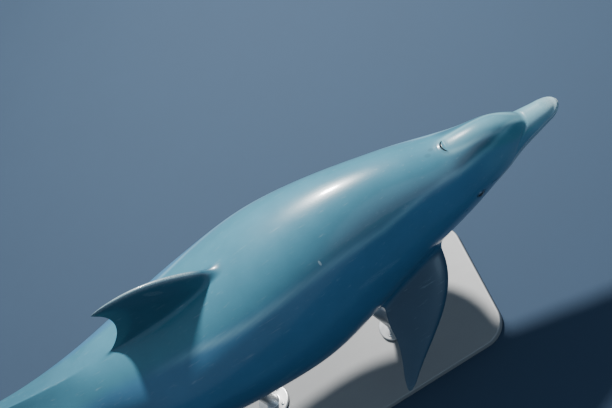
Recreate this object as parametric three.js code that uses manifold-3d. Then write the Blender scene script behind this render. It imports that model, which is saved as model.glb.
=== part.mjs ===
// A bottlenose dolphin as a still, life-size museum model, held on a plain stand by two rods.
// Millimetres, +X towards the snout, +Y to the dolphin's left, +Z up. The origin is on the floor, in
// the middle of the stand's underside.
//
// The flesh is one closed surface, drawn ring by ring along a spine and then cut across into its
// parts. Outlines and rings are in hundredths of the body length: a "station" is how far a ring is
// behind the snout, and heights are measured from the spine.
import * as THREE from 'three';
import { mergeVertices } from 'three/addons/utils/BufferGeometryUtils.js';
import Module from 'manifold-3d';

const wasm = await Module();
wasm.setup();

// ---------------------------------------------------------------- driving dimensions
const BODY_LENGTH = 2700; // snout tip to the notch between the flukes
const UNIT = BODY_LENGTH / 100;
const GAP = 0.3; // between neighbouring pieces
const SPINE_HEIGHT = 640; // of the spine over the floor, at the still station
const STILL_STATION = 40; // the ring that the pose leaves square to the floor
const BALANCE_STATION = 44; // the ring over the middle of the stand

// The pose: the body bows to the left, with the head lifted and the tail raised in an upstroke.
const HEAD_TURN = { yaw: 2.3, pitch: 5.3, roll: -8, from: 30, to: 4 };
const TAIL_TURN = { yaw: -22, pitch: -11.5, from: 50, to: 96 };

// Rings of the trunk: station, half width, top, bottom, level of the widest line, and how square
// the ring is above and below that line (2 is an ellipse, less is more keeled).
const TRUNK = [
  [0, 1.6, -1.9, -4.4, -3.3, 2.2, 2.2],
  [4, 2.35, 2.2, -4.8, -3.2, 2.2, 2.2],
  [7, 2.9, 3.3, -5.0, -2.7, 2.1, 2.1],
  [10, 3.4, 3.95, -5.35, -2.0, 2.0, 2.1],
  [13, 4.35, 4.75, -5.85, -1.3, 2.0, 2.1],
  [17, 5.4, 6.8, -6.4, -0.6, 2.0, 2.1],
  [22, 6.4, 8.85, -7.3, -0.2, 2.0, 2.1],
  [30, 8.35, 10.3, -9.3, 0.0, 2.0, 2.1],
  [38, 10.0, 10.2, -11.1, 0.0, 2.0, 2.1],
  [46, 10.3, 9.1, -11.2, 0.1, 1.93, 2.0],
  [55, 9.5, 7.9, -10.6, 0.4, 1.86, 2.0],
  [64, 7.25, 7.2, -8.4, 0.7, 1.84, 1.95],
  [72, 5.0, 6.6, -5.5, 0.8, 1.8, 1.9],
  [80, 3.15, 5.2, -3.4, 0.7, 1.75, 1.8],
  [88, 2.0, 3.5, -2.4, 0.4, 1.7, 1.75],
  [94, 1.4, 2.2, -1.6, 0.3, 1.8, 1.8],
  [98, 0.9, 0.9, -0.5, 0.2, 2.0, 2.0],
  [100, 0.4, 0.45, -0.05, 0.2, 2.0, 2.0],
];
// Rings of the beak and jaws, which run on under the melon: the same seven measures.
const BEAK = [
  [0, 1.2, -2.35, -4.3, -3.3, 2.3, 2.3],
  [2, 1.4, -1.85, -4.6, -3.3, 2.4, 2.3],
  [4, 1.72, -1.3, -4.85, -3.2, 2.4, 2.3],
  [6, 2.1, -0.65, -5.1, -3.0, 2.4, 2.2],
  [9, 3.05, 0.2, -5.45, -2.6, 2.3, 2.2],
  [12, 4.1, 1.2, -5.9, -2.0, 2.2, 2.1],
  [16, 5.1, 2.4, -6.5, -1.0, 2.1, 2.1],
];
const TIP = { level: -3.3, round: 1.7, underbite: 0.3 }; // the lower jaw ends that far in front
// Where the melon leaves the beak, how far it takes to rise, and how fast the crease bends back.
const CREASE = { top: 4, side: 8.2, rise: 6.5, riseBelow: 9.5, bend: 1.3 };
const MOUTH = [[-2, -3.3], [0, -3.3], [3, -3.15], [6, -3.1], [8.5, -3.2], [10.2, -2.95], [11.3, -2.2]];
const EYE = { station: 13.1, level: -1.65, radius: 17, proud: 4 };
const BLOWHOLE = { station: 12.5, half: 20, bow: 11, slot: 7, deep: 16 };

// Fin outlines: the front and rear edges from root to tip, each a cubic Bezier curve, as
// [towards the tail, outwards], and the thickness in millimetres at the root and near the tip.
// A fin's section is thickest ahead of its middle, the more so the larger FIN_NOSE; FIN_SCALE takes
// back what this adds to its thickness.
const FIN_NOSE = 0.72;
const FIN_SCALE = 0.86;
const TIP_ROUND = 0.08; // the share of a fin's span over which its tip is rounded off
const DORSAL = {
  front: [[41.6, 8.6], [45.4, 13.6], [50.0, 16.2], [56.3, 15.6]],
  rear: [[61.6, 6.6], [55.6, 9.0], [54.2, 13.4], [56.5, 15.15]],
  thick: [62, 8],
};
const FLIPPER = {
  root: [21, 4.7, -5.6], droop: 42, // station, side, level; degrees under the horizontal
  front: [[-0.4, -2.2], [-0.7, 6.15], [7.9, 8.5], [12.35, 12.95]],
  rear: [[6.6, -2.4], [12.95, 7.75], [7.75, 3.2], [13.15, 12.25]],
  thick: [46, 9],
};
const FLUKE = {
  front: [[89.4, 0.2], [92.2, 4.2], [96.0, 9.8], [101.4, 12.5]],
  rear: [[99.9, 0.2], [101.9, 3.6], [99.7, 9.0], [101.8, 12.0]],
  thick: [52, 8], droop: 0.6, level: 0.25,
};

// The stand: a flat base and two rods with a foot plate each.
const BASE = { length: 1240, width: 520, thick: 26, corner: 90, edge: 4 };
const ROD = { radius: 24, footRadius: 62, footHigh: 14, chamfer: 3 };
const ROD_STATIONS = { stand_rod_front: 34, stand_rod_rear: 54 };

// Where each part of the body ends, counted from the snout. The head's own parts are cut apart
// further on.
const BEAK_ENDS = 4.2;
const HEAD_ENDS = 15.5;
const TRUNK_ENDS = {
  neck: 20, chest: 31, belly: 46, loin: 61, tail_stock_front: 76, tail_stock_rear: 90.5, tail_end: 101,
};

// How finely the surfaces are cut into facets: points round a ring, the rings' stations, and the
// rows and the points round a row of a fin.
const AROUND = 32;
const FIN_ROWS = 11;
const FIN_AROUND = 16;
const STATIONS = [
  0.04, 0.2, 0.5, 1, 1.7, 2.8, 3.5, 4.1, 4.8, 5.6, 6.5, 7.5, 8.6, 10, 11.3, 12.7, 14.3, 16, 18,
  20.5, 23, 26, 29.5, 33, 37, 41, 45, 49, 53, 57, 61, 65, 69, 73, 77, 81, 85, 88.5, 91.5, 94, 96,
  97.6, 98.8, 99.4,
];

// ---------------------------------------------------------------- curves
const radians = THREE.MathUtils.degToRad;
const smooth = (t) => THREE.MathUtils.smoothstep(t, 0, 1);
const clamp01 = (t) => THREE.MathUtils.clamp(t, 0, 1);

// The natural cubic spline through the rows' chosen column, as a function of their first column.
function spline(rows, column) {
  const x = rows.map((row) => row[0]);
  const y = rows.map((row) => row[column]);
  const last = x.length - 1;
  const bend = new Array(last + 1).fill(0); // second derivatives, zero at both ends
  const carry = new Array(last + 1).fill(0);
  for (let i = 1; i < last; i++) {
    const share = (x[i] - x[i - 1]) / (x[i + 1] - x[i - 1]);
    const pivot = share * carry[i - 1] + 2;
    const slopes = (y[i + 1] - y[i]) / (x[i + 1] - x[i]) - (y[i] - y[i - 1]) / (x[i] - x[i - 1]);
    carry[i] = (share - 1) / pivot;
    bend[i] = ((6 * slopes) / (x[i + 1] - x[i - 1]) - share * bend[i - 1]) / pivot;
  }
  for (let i = last - 1; i > 0; i--) bend[i] += carry[i] * bend[i + 1];
  return (at) => {
    const t = THREE.MathUtils.clamp(at, x[0], x[last]);
    let i = 0;
    while (i < last - 1 && t > x[i + 1]) i++;
    const h = x[i + 1] - x[i];
    const a = (x[i + 1] - t) / h;
    const b = 1 - a;
    return a * y[i] + b * y[i + 1] + (((a ** 3 - a) * bend[i] + (b ** 3 - b) * bend[i + 1]) * h * h) / 6;
  };
}

const MEASURES = { half: 1, top: 2, bottom: 3, level: 4, squareAbove: 5, squareBelow: 6 };
const splinesOf = (rows) =>
  Object.fromEntries(Object.entries(MEASURES).map(([name, column]) => [name, spline(rows, column)]));
const trunk = splinesOf(TRUNK);
const beak = splinesOf(BEAK);
const mouthLevel = spline(MOUTH, 1);

// ---------------------------------------------------------------- the body's surface, unposed
// One point of a superellipse ring: angle 0 is the left side and 90 degrees the back.
function ringPoint(rings, station, angle) {
  const c = Math.cos(angle);
  const s = Math.sin(angle);
  const level = rings.level(station);
  const power = 2 / (s >= 0 ? rings.squareAbove(station) : rings.squareBelow(station));
  const reach = s >= 0 ? rings.top(station) - level : rings.bottom(station) - level;
  const side = rings.half(station) * Math.sign(c) * Math.abs(c) ** power;
  return [side, level + reach * Math.abs(s) ** power];
}

// Station, side and level of the skin. The beak's ring grows into the trunk's ring behind the
// crease, which starts further back at the sides than on top.
function skinPoint(station, angle) {
  const up = clamp01((Math.sin(angle) + 0.15) / 1.15); // 0 from just under the side, 1 on top
  const start = THREE.MathUtils.lerp(CREASE.top, CREASE.side, (1 - up) ** CREASE.bend);
  const rise = THREE.MathUtils.lerp(CREASE.riseBelow, CREASE.rise, up);
  const grown = 1 - (1 - clamp01((station - start) / rise)) ** 3;
  const [beakSide, beakLevel] = ringPoint(beak, station, angle);
  const [trunkSide, trunkLevel] = ringPoint(trunk, station, angle);
  const ahead = 1 - clamp01(station / TIP.round);
  const blunt = Math.sqrt(1 - ahead * ahead);
  const side = THREE.MathUtils.lerp(beakSide, trunkSide, grown) * blunt;
  const level = TIP.level + (THREE.MathUtils.lerp(beakLevel, trunkLevel, grown) - TIP.level) * blunt;
  const above = smooth((level - mouthLevel(station)) / 0.5) * smooth(1 - station / 5);
  return [station + TIP.underbite * above, side, level];
}

// ---------------------------------------------------------------- the pose
// The directions ahead, left and up of a spine that is turned to the left by yaw and up by pitch,
// and then rolled about itself, to its left where roll is above 0.
function directions(yaw, pitch, roll) {
  const level = Math.cos(pitch);
  const ahead = new THREE.Vector3(Math.cos(yaw) * level, Math.sin(yaw) * level, Math.sin(pitch));
  const left = new THREE.Vector3(-Math.sin(yaw), Math.cos(yaw), 0).applyAxisAngle(ahead, -roll);
  return { ahead, left, up: ahead.clone().cross(left) };
}

// The spine as a chain of short straight steps from before the snout to behind the flukes.
const SPINE = { from: -3, to: 106, step: 0.25 };
const spine = [];
for (let station = SPINE.from; station <= SPINE.to; station += SPINE.step) {
  const head = smooth((HEAD_TURN.from - station) / (HEAD_TURN.from - HEAD_TURN.to));
  const tail = smooth((station - TAIL_TURN.from) / (TAIL_TURN.to - TAIL_TURN.from));
  const yaw = radians(HEAD_TURN.yaw * head + TAIL_TURN.yaw * tail);
  const pitch = radians(HEAD_TURN.pitch * head + TAIL_TURN.pitch * tail);
  const roll = radians(HEAD_TURN.roll * head);
  const place = new THREE.Vector3();
  if (spine.length > 0) {
    const before = spine.at(-1);
    const along = directions((before.yaw + yaw) / 2, (before.pitch + pitch) / 2, 0).ahead;
    place.copy(before.place).addScaledVector(along, -SPINE.step * UNIT);
  }
  spine.push({ place, yaw, pitch, roll });
}
const still = spine[(STILL_STATION - SPINE.from) / SPINE.step].place.clone();
const offset = new THREE.Vector3((BALANCE_STATION - STILL_STATION) * UNIT, 0, SPINE_HEIGHT).sub(still);
spine.forEach(({ place }) => place.add(offset));

// The spine's place at a station, and the directions there.
function frameAt(station) {
  const t = (station - SPINE.from) / SPINE.step;
  const i = THREE.MathUtils.clamp(Math.floor(t), 0, spine.length - 2);
  const [a, b, share] = [spine[i], spine[i + 1], t - i];
  const yaw = THREE.MathUtils.lerp(a.yaw, b.yaw, share);
  const pitch = THREE.MathUtils.lerp(a.pitch, b.pitch, share);
  const roll = THREE.MathUtils.lerp(a.roll, b.roll, share);
  return { place: a.place.clone().lerp(b.place, share), ...directions(yaw, pitch, roll) };
}

function posed([station, side, level]) {
  const { place, left, up } = frameAt(station);
  return place.addScaledVector(left, side * UNIT).addScaledVector(up, level * UNIT);
}

// ---------------------------------------------------------------- solids
// A closed three.js geometry as a solid that can be cut and joined, turned right side out.
function solidOf(geometry) {
  const bare = geometry.index ? geometry.toNonIndexed() : geometry;
  const points = new THREE.BufferGeometry().setAttribute('position', bare.getAttribute('position'));
  const merged = mergeVertices(points, 1e-3);
  const triVerts = new Uint32Array(merged.index.array);
  const vertProperties = merged.getAttribute('position').array;
  const solid = new wasm.Manifold(new wasm.Mesh({ numProp: 3, vertProperties, triVerts }));
  if (solid.volume() > 0) return solid;
  triVerts.reverse();
  return new wasm.Manifold(new wasm.Mesh({ numProp: 3, vertProperties, triVerts }));
}

function geometryOf(solid) {
  const { vertProperties, triVerts } = solid.getMesh();
  const geometry = new THREE.BufferGeometry();
  geometry.setAttribute('position', new THREE.BufferAttribute(vertProperties, 3));
  geometry.setIndex(new THREE.BufferAttribute(triVerts, 1));
  geometry.computeVertexNormals();
  return geometry;
}

// A closed skin over rings of equally many points, with a fan to a point at each end.
function loft(rings) {
  const around = rings[0].length;
  const middle = (ring) => ring.reduce((sum, p) => sum.add(p), new THREE.Vector3()).divideScalar(around);
  const points = [...rings.flat(), middle(rings[0]), middle(rings.at(-1))];
  const index = [];
  for (let i = 0; i < rings.length - 1; i++) {
    for (let j = 0; j < around; j++) {
      const [a, b] = [i * around + j, i * around + ((j + 1) % around)];
      index.push(a, a + around, b, b, a + around, b + around);
    }
  }
  const [front, back, lastRing] = [points.length - 2, points.length - 1, (rings.length - 1) * around];
  for (let j = 0; j < around; j++) {
    const next = (j + 1) % around;
    index.push(front, j, next, back, lastRing + next, lastRing + j);
  }
  const geometry = new THREE.BufferGeometry().setFromPoints(points);
  geometry.setIndex(index);
  return solidOf(geometry);
}

// The whole body without its fins, swollen by a few tenths of a millimetre where a neighbour is
// to be cut clear of it.
function bodySolid(swell = 0) {
  const grow = swell / UNIT;
  const rings = STATIONS.map((station) => {
    const ring = [];
    for (let j = 0; j < AROUND; j++) {
      const angle = (2 * Math.PI * j) / AROUND;
      const [at, side, level] = skinPoint(station, angle);
      ring.push(posed([at, side + grow * Math.cos(angle), level + grow * Math.sin(angle)]));
    }
    return ring;
  });
  return loft(rings);
}

const vectors = (pairs) => pairs.map(([a, b]) => new THREE.Vector2(a, b));
const bezier = (pairs) => new THREE.CubicBezierCurve(...vectors(pairs));

// A fin between its front and rear edge curves. Its sections are rounded in front and thin behind;
// place turns [towards the tail, outwards, through the fin] into station, side and level.
function finSolid(outline, place) {
  const front = bezier(outline.front);
  const rear = bezier(outline.rear);
  const [thickRoot, thickTip] = outline.thick;
  const rings = [];
  for (let i = 0; i < FIN_ROWS; i++) {
    const t = Math.sin(((i / (FIN_ROWS - 0.6)) * Math.PI) / 2); // closer rows near the tip
    const [lead, trail] = [front.getPoint(t), rear.getPoint(t)];
    const thick = THREE.MathUtils.lerp(thickRoot, thickTip, t ** 0.8) * (1 - t ** 8);
    const narrow = Math.sqrt(1 - clamp01((t - 1 + TIP_ROUND) / TIP_ROUND) ** 2);
    const ring = [];
    for (let j = 0; j < FIN_AROUND; j++) {
      const turn = (2 * Math.PI * j) / FIN_AROUND;
      const along = (1 - narrow * Math.cos(turn)) / 2;
      const through = (thick / 2) * Math.sin(turn) * (1 + FIN_NOSE * Math.cos(turn)) * FIN_SCALE;
      const at = lead.clone().lerp(trail, along);
      ring.push(posed(place(at.x, at.y, through / UNIT)));
    }
    rings.push(ring);
  }
  return loft(rings);
}

const inDorsal = (back, out, through) => [back, through, out];
const inFlipper = (side) => (back, out, through) => {
  const [station, away, level] = FLIPPER.root;
  const droop = radians(FLIPPER.droop);
  return [
    station + back,
    side * (away + out * Math.cos(droop) + through * Math.sin(droop)),
    level - out * Math.sin(droop) + through * Math.cos(droop),
  ];
};
const inFluke = (side) => (back, out, through) => [
  back,
  side * out,
  FLUKE.level + through - FLUKE.droop * (out / FLUKE.front[3][1]) ** 2,
];

// Keeps what lies behind the plane across the spine at a station, or in front of it.
const behind = (solid, station) => {
  const { place, ahead } = frameAt(station);
  const normal = ahead.clone().negate();
  return solid.trimByPlane(normal.toArray(), normal.dot(place) + GAP / 2);
};
const inFrontOf = (solid, station) => {
  const { place, ahead } = frameAt(station);
  return solid.trimByPlane(ahead.toArray(), ahead.dot(place) + GAP / 2);
};

// All that lies under the mouth's surface, from before the snout to the corner of the mouth.
function underMouth(lift) {
  const reach = 7; // to each side, past the jaws
  const depth = -12; // below the chin
  const steps = 20;
  const raise = lift / UNIT;
  const rings = [-reach, reach].map((side) => {
    const lip = [];
    const under = [];
    for (let k = 0; k <= steps; k++) {
      const station = THREE.MathUtils.lerp(MOUTH[0][0], MOUTH.at(-1)[0] + raise, k / steps);
      lip.push(posed([station, side, mouthLevel(station) + raise]));
      under.unshift(posed([station, side, depth]));
    }
    return [...lip, ...under];
  });
  return loft(rings);
}

// The angle at which a ring of the left side reaches a level.
function angleAt(station, level) {
  let [low, high] = [-Math.PI / 2, Math.PI / 2];
  for (let i = 0; i < 30; i++) {
    const middle = (low + high) / 2;
    if (skinPoint(station, middle)[2] < level) low = middle;
    else high = middle;
  }
  return low;
}

// An eyeball, set into the side of the head so that it stands a little proud of it.
function eyeSolid(side, swell = 0) {
  const [station, away] = skinPoint(EYE.station, angleAt(EYE.station, EYE.level));
  const inset = (EYE.radius - EYE.proud) / UNIT;
  const centre = posed([station, side * (away - inset), EYE.level]);
  const ball = new THREE.IcosahedronGeometry(EYE.radius + swell, 2);
  return solidOf(ball.translate(...centre.toArray()));
}

// The crescent plug that shuts the blowhole, bowed towards the tail. Swollen, it cuts its socket.
function blowholeSolid(swell = 0) {
  const { station, half, bow, slot, deep } = BLOWHOLE;
  const radius = (half * half + bow * bow) / (2 * bow);
  const open = Math.asin(half / radius);
  const lip = slot / 2 + swell;
  const outline = new THREE.Shape();
  outline.absarc(-radius * Math.cos(open), 0, radius + lip, -open, open);
  outline.absarc(0, half, lip, open, open + Math.PI);
  outline.absarc(-radius * Math.cos(open), 0, radius - lip, open, -open, true);
  outline.absarc(0, -half, lip, -open - Math.PI, -open);
  const block = new THREE.ExtrudeGeometry(outline, { depth: 60, bevelEnabled: false, curveSegments: 4 });
  const { place, ahead, left, up } = frameAt(station);
  place.addScaledVector(up, trunk.top(station) * UNIT - deep - swell);
  const basis = new THREE.Matrix4().makeBasis(ahead.negate(), left.negate(), up).setPosition(place);
  return solidOf(block.applyMatrix4(basis));
}

// ---------------------------------------------------------------- the stand
function standBase() {
  const { length, width, thick, corner, edge } = BASE;
  const [x, y, r] = [length / 2 - edge, width / 2 - edge, corner - edge];
  const outline = new THREE.Shape();
  outline.absarc(x - r, y - r, r, 0, Math.PI / 2);
  outline.absarc(-x + r, y - r, r, Math.PI / 2, Math.PI);
  outline.absarc(-x + r, -y + r, r, Math.PI, 1.5 * Math.PI);
  outline.absarc(x - r, -y + r, r, 1.5 * Math.PI, 2 * Math.PI);
  const rim = { bevelSize: edge, bevelThickness: edge, bevelSegments: 1 };
  const slab = { depth: thick - 2 * edge, curveSegments: 5, ...rim };
  return new THREE.ExtrudeGeometry(outline, slab).translate(0, 0, edge);
}

// A rod on the Z axis that stands on a round foot and reaches into the body's hollow.
function standRod() {
  const { radius, footRadius, footHigh, chamfer } = ROD;
  const footTop = BASE.thick + footHigh;
  const profile = [
    [0, BASE.thick], [footRadius, BASE.thick], [footRadius, footTop - chamfer],
    [footRadius - chamfer, footTop], [radius, footTop], [radius, SPINE_HEIGHT], [0, SPINE_HEIGHT],
  ];
  return new THREE.LatheGeometry(vectors(profile), 28).rotateX(Math.PI / 2);
}

// ---------------------------------------------------------------- the pieces
const dolphin = new THREE.Group();

const SKIN = { color: 0x5d7280, roughness: 0.35 };
const PALE_SKIN = { color: 0xc3cacb, roughness: 0.4 };
const DARK_SKIN = { color: 0x4a5d6a, roughness: 0.35 };
const EYE_GLASS = { color: 0x1c1613, roughness: 0.1 };
const LACQUER = { color: 0xb9bcbd, roughness: 0.5 };
const STEEL = { color: 0xa8abad, roughness: 0.3, metalness: 1 };

function add(name, geometry, finish) {
  const mesh = new THREE.Mesh(geometry, new THREE.MeshStandardMaterial(finish));
  mesh.name = name;
  dolphin.add(mesh);
}

function addHead(body) {
  let head = inFrontOf(body, HEAD_ENDS);
  for (const [name, side] of [['eye_left', 1], ['eye_right', -1]]) {
    head = head.subtract(eyeSolid(side, GAP));
    add(name, geometryOf(eyeSolid(side)), EYE_GLASS);
  }
  add('lower_jaw', geometryOf(head.intersect(underMouth(-GAP / 2))), PALE_SKIN);
  const skull = head.subtract(underMouth(GAP / 2));
  add('upper_jaw', geometryOf(inFrontOf(skull, BEAK_ENDS)), SKIN);
  add('head', geometryOf(behind(skull, BEAK_ENDS).subtract(blowholeSolid(GAP))), SKIN);
  add('blowhole', geometryOf(blowholeSolid().intersect(body)), DARK_SKIN);
}

function addTrunk(body) {
  let from = HEAD_ENDS;
  for (const [name, to] of Object.entries(TRUNK_ENDS)) {
    add(name, geometryOf(inFrontOf(behind(body, from), to)), SKIN);
    from = to;
  }
}

function addFins(clear) {
  const addFin = (name, fin) => add(name, geometryOf(fin.subtract(clear)), DARK_SKIN);
  addFin('dorsal_fin', finSolid(DORSAL, inDorsal));
  for (const [name, side] of [['left', 1], ['right', -1]]) {
    addFin(`flipper_${name}`, finSolid(FLIPPER, inFlipper(side)));
    addFin(`fluke_${name}`, finSolid(FLUKE, inFluke(side)));
  }
}

function addStand(clear) {
  add('stand_base', standBase(), LACQUER);
  for (const [name, station] of Object.entries(ROD_STATIONS)) {
    const { x, y } = posed([station, 0, 0]);
    add(name, geometryOf(solidOf(standRod().translate(x, y, 0)).subtract(clear)), STEEL);
  }
}

const wholeBody = bodySolid();
const clearOfBody = bodySolid(GAP);
addHead(wholeBody);
addTrunk(wholeBody);
addFins(clearOfBody);
addStand(clearOfBody);

export default dolphin;
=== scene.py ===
"""A still, life-size model of a bottlenose dolphin on a plain display stand.

Places on the animal are written [station, side, level]: how far a point is behind the snout, to the
animal's left and above its spine, all in hundredths of the body length, before the pose bends it.
Angles run round the body from 0 on the left side over 90 on the back to 180 on the right side.
"""
import math

import bpy
import numpy as np
from mathutils import Matrix, Vector


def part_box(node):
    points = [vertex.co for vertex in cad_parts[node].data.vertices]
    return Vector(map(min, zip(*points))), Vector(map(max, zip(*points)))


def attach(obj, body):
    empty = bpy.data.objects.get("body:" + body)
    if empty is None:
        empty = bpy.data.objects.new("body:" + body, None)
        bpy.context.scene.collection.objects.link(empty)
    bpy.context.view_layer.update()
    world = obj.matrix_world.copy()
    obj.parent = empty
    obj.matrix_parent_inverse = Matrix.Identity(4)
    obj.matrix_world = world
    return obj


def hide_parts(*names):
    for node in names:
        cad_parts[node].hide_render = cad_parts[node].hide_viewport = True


bl_info = {
    "name": "Bottlenose dolphin, museum model",
    "version": (1, 0, 0),
    "blender": (4, 5, 0),
    "location": "3D View > Sidebar > Dolphin",
    "description": "Dresses a life-size dolphin and its display stand",
    "category": "Object",
}

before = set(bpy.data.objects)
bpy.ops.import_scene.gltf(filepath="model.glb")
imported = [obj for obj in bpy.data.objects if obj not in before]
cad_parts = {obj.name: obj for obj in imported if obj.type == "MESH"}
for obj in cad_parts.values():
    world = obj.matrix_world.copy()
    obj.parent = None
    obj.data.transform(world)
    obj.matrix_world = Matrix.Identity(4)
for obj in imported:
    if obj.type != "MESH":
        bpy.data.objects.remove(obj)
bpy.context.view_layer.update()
BODY = "root"

# ---------------------------------------------------------------- the solids' own measures
BODY_LENGTH = 2700.0  # millimetres, snout tip to the notch between the flukes
UNIT = BODY_LENGTH / 100
SPINE_HEIGHT = 640.0
# The pose: the station that it leaves straight, the one over the middle of the base, and the turns
# in degrees that head and tail take on between two stations.
STILL_STATION, BALANCE_STATION = 40.0, 44.0
HEAD_TURN = {"yaw": 2.3, "pitch": 5.3, "roll": -8.0, "start": 30.0, "end": 4.0}
TAIL_TURN = {"yaw": -22.0, "pitch": -11.5, "start": 50.0, "end": 96.0}

# Rings: station, half width, top, bottom, widest level, squareness above and below that level.
TRUNK = np.array([
    [0, 1.6, -1.9, -4.4, -3.3, 2.2, 2.2], [4, 2.35, 2.2, -4.8, -3.2, 2.2, 2.2],
    [7, 2.9, 3.3, -5.0, -2.7, 2.1, 2.1], [10, 3.4, 3.95, -5.35, -2.0, 2.0, 2.1],
    [13, 4.35, 4.75, -5.85, -1.3, 2.0, 2.1], [17, 5.4, 6.8, -6.4, -0.6, 2.0, 2.1],
    [22, 6.4, 8.85, -7.3, -0.2, 2.0, 2.1], [30, 8.35, 10.3, -9.3, 0.0, 2.0, 2.1],
    [38, 10.0, 10.2, -11.1, 0.0, 2.0, 2.1], [46, 10.3, 9.1, -11.2, 0.1, 1.93, 2.0],
    [55, 9.5, 7.9, -10.6, 0.4, 1.86, 2.0], [64, 7.25, 7.2, -8.4, 0.7, 1.84, 1.95],
    [72, 5.0, 6.6, -5.5, 0.8, 1.8, 1.9], [80, 3.15, 5.2, -3.4, 0.7, 1.75, 1.8],
    [88, 2.0, 3.5, -2.4, 0.4, 1.7, 1.75], [94, 1.4, 2.2, -1.6, 0.3, 1.8, 1.8],
    [98, 0.9, 0.9, -0.5, 0.2, 2.0, 2.0], [100, 0.4, 0.45, -0.05, 0.2, 2.0, 2.0],
])
BEAK = np.array([
    [0, 1.2, -2.35, -4.3, -3.3, 2.3, 2.3], [2, 1.4, -1.85, -4.6, -3.3, 2.4, 2.3],
    [4, 1.72, -1.3, -4.85, -3.2, 2.4, 2.3], [6, 2.1, -0.65, -5.1, -3.0, 2.4, 2.2],
    [9, 3.05, 0.2, -5.45, -2.6, 2.3, 2.2], [12, 4.1, 1.2, -5.9, -2.0, 2.2, 2.1],
    [16, 5.1, 2.4, -6.5, -1.0, 2.1, 2.1],
])
TIP = {"level": -3.3, "round": 1.7, "underbite": 0.3, "underbite_end": 5.0}
TAIL_CAP = {"start": 99.2, "length": 0.9, "level": 0.2}
CREASE = {"top": 4.0, "side": 8.2, "rise": 6.5, "rise_below": 9.5, "bend": 1.3, "below_side": 0.15}
MOUTH = np.array([
    [-2, -3.3], [0, -3.3], [3, -3.15], [6, -3.1], [8.5, -3.2], [10.2, -2.95], [11.3, -2.2],
])
# The eye and the blowhole in millimetres from their station: the eyeball's radius and how far it
# stands out of the head, the lids' half opening, the iris as a share of the radius, the slit's half
# length, bow and half width, and half the window (rows and columns) that each is sewn into.
EYE = {
    "station": 13.1, "level": -1.65, "radius": 17.0, "proud": 4.0, "opening": (12.5, 7.2),
    "iris": (0.50, 0.42), "window": (11, 12),
}
LID = {"thick": 1.5, "soft": 2.0, "sunk": 0.6, "dive": 2.0}
BLOWHOLE = {"station": 12.5, "half": 20.0, "bow": 11.0, "wide": 2.6, "window": (12, 16)}
EAR = (15.4, -1.75)  # station and level of the pinhole behind the eye
# Ripples of the skin round the mouth, eye, ear and blowhole: height, distance and width of each.
LIP_RIPPLES = ((0.8, 5.5, 2.6), (-3.8, 0.0, 1.9))
LID_RIPPLES = ((0.55, 1.3, 1.1), (-0.9, 5.2, 1.3), (0.45, 8.0, 1.8), (-0.5, 10.6, 1.2))
EAR_RIPPLES = ((-1.6, 0.0, 4.0), (0.4, 7.0, 3.0))
RIM_RIPPLES = ((1.6, 0.0, 13.0), (0.7, 1.2, 1.3), (-0.7, 8.5, 2.2))
# Folds of the throat and neck: station on the side line, lean, width and depth in millimetres, and
# the level they reach up to. Slits of the belly: station, half length, width and depth. The keel of
# the tail stock: its span, how far round it the hollows beside it reach, and their depth.
FOLDS = ((14.2, 1.6, 6.0, 0.7, -2.6), (16.6, 1.2, 7.0, 0.8, -2.0), (19.0, 0.8, 8.0, 0.7, -3.0))
SLITS = ((47.0, 0.7, 7.0, 2.6), (65.8, 2.6, 6.0, 3.6), (71.2, 0.6, 6.0, 3.0))
KEEL = {"span": (62.6, 5.0, 98.0, 26.0), "spread": math.radians(46), "depth": 11.0}
# A fin's section: how far forward it is thickest, the scale that keeps its thickness true, and the
# share of the span over which the tip is rounded off. Then how far out on a fin its last row and its
# tip lie, and how far out the foot and the top of its fillet count.
FIN_NOSE, FIN_SCALE, TIP_ROUND = 0.72, 0.86, 0.08
FIN_END, FIN_TIP = 0.9985, 0.9995
FIN_FOOT, FIN_ROOT = 0.04, 0.2
# Bezier points of the front and the rear edge, [back, out], and the thickness at root and tip in
# millimetres. A flipper starts from its root [station, side, level] and droops by degrees.
DORSAL = {
    "front": [[41.6, 8.6], [45.4, 13.6], [50.0, 16.2], [56.3, 15.6]],
    "rear": [[61.6, 6.6], [55.6, 9.0], [54.2, 13.4], [56.5, 15.15]],
    "thick": (62, 8),
}
FLIPPER = {
    "front": [[-0.4, -2.2], [-0.7, 6.15], [7.9, 8.5], [12.35, 12.95]],
    "rear": [[6.6, -2.4], [12.95, 7.75], [7.75, 3.2], [13.15, 12.25]],
    "thick": (46, 9), "root": (21, 4.7, -5.6), "droop": 42,
}
FLUKE = {
    "front": [[89.4, 0.2], [92.2, 4.2], [96.0, 9.8], [101.4, 12.5]],
    "rear": [[99.9, 0.2], [101.9, 3.6], [99.7, 9.0], [101.8, 12.0]],
    "thick": (52, 8), "droop": 0.6, "level": 0.25,
}


# ---------------------------------------------------------------- curves
def smooth(t):
    """0 before 0, 1 after 1, and 3t² - 2t³ between."""
    t = np.clip(t, 0, 1)
    return t * t * (3 - 2 * t)


def lerp(a, b, t):
    return a + (b - a) * t


def bump(distance, width):
    """A bell curve of a distance: 1 at 0, and e⁻¹ at the width."""
    return np.exp(-((distance / width) ** 2))


def ripples(distance, table):
    """The sum of bell curves, each height·bump(distance - its own distance, its width)."""
    return sum(height * bump(distance - at, width) for height, at, width in table)


def between(station, start, rise, end, fall):
    """0 up to the start, 1 from the rise's end to where the fall begins, and 0 from the end on."""
    return smooth((station - start) / rise) * smooth((end - station) / fall)


def halved(low, high, below):
    """Where below() turns from true to false, by halving the intervals from low to high."""
    for _ in range(40):
        middle = (low + high) / 2
        under = below(middle)
        low, high = np.where(under, middle, low), np.where(under, high, middle)
    return (low + high) / 2


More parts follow.
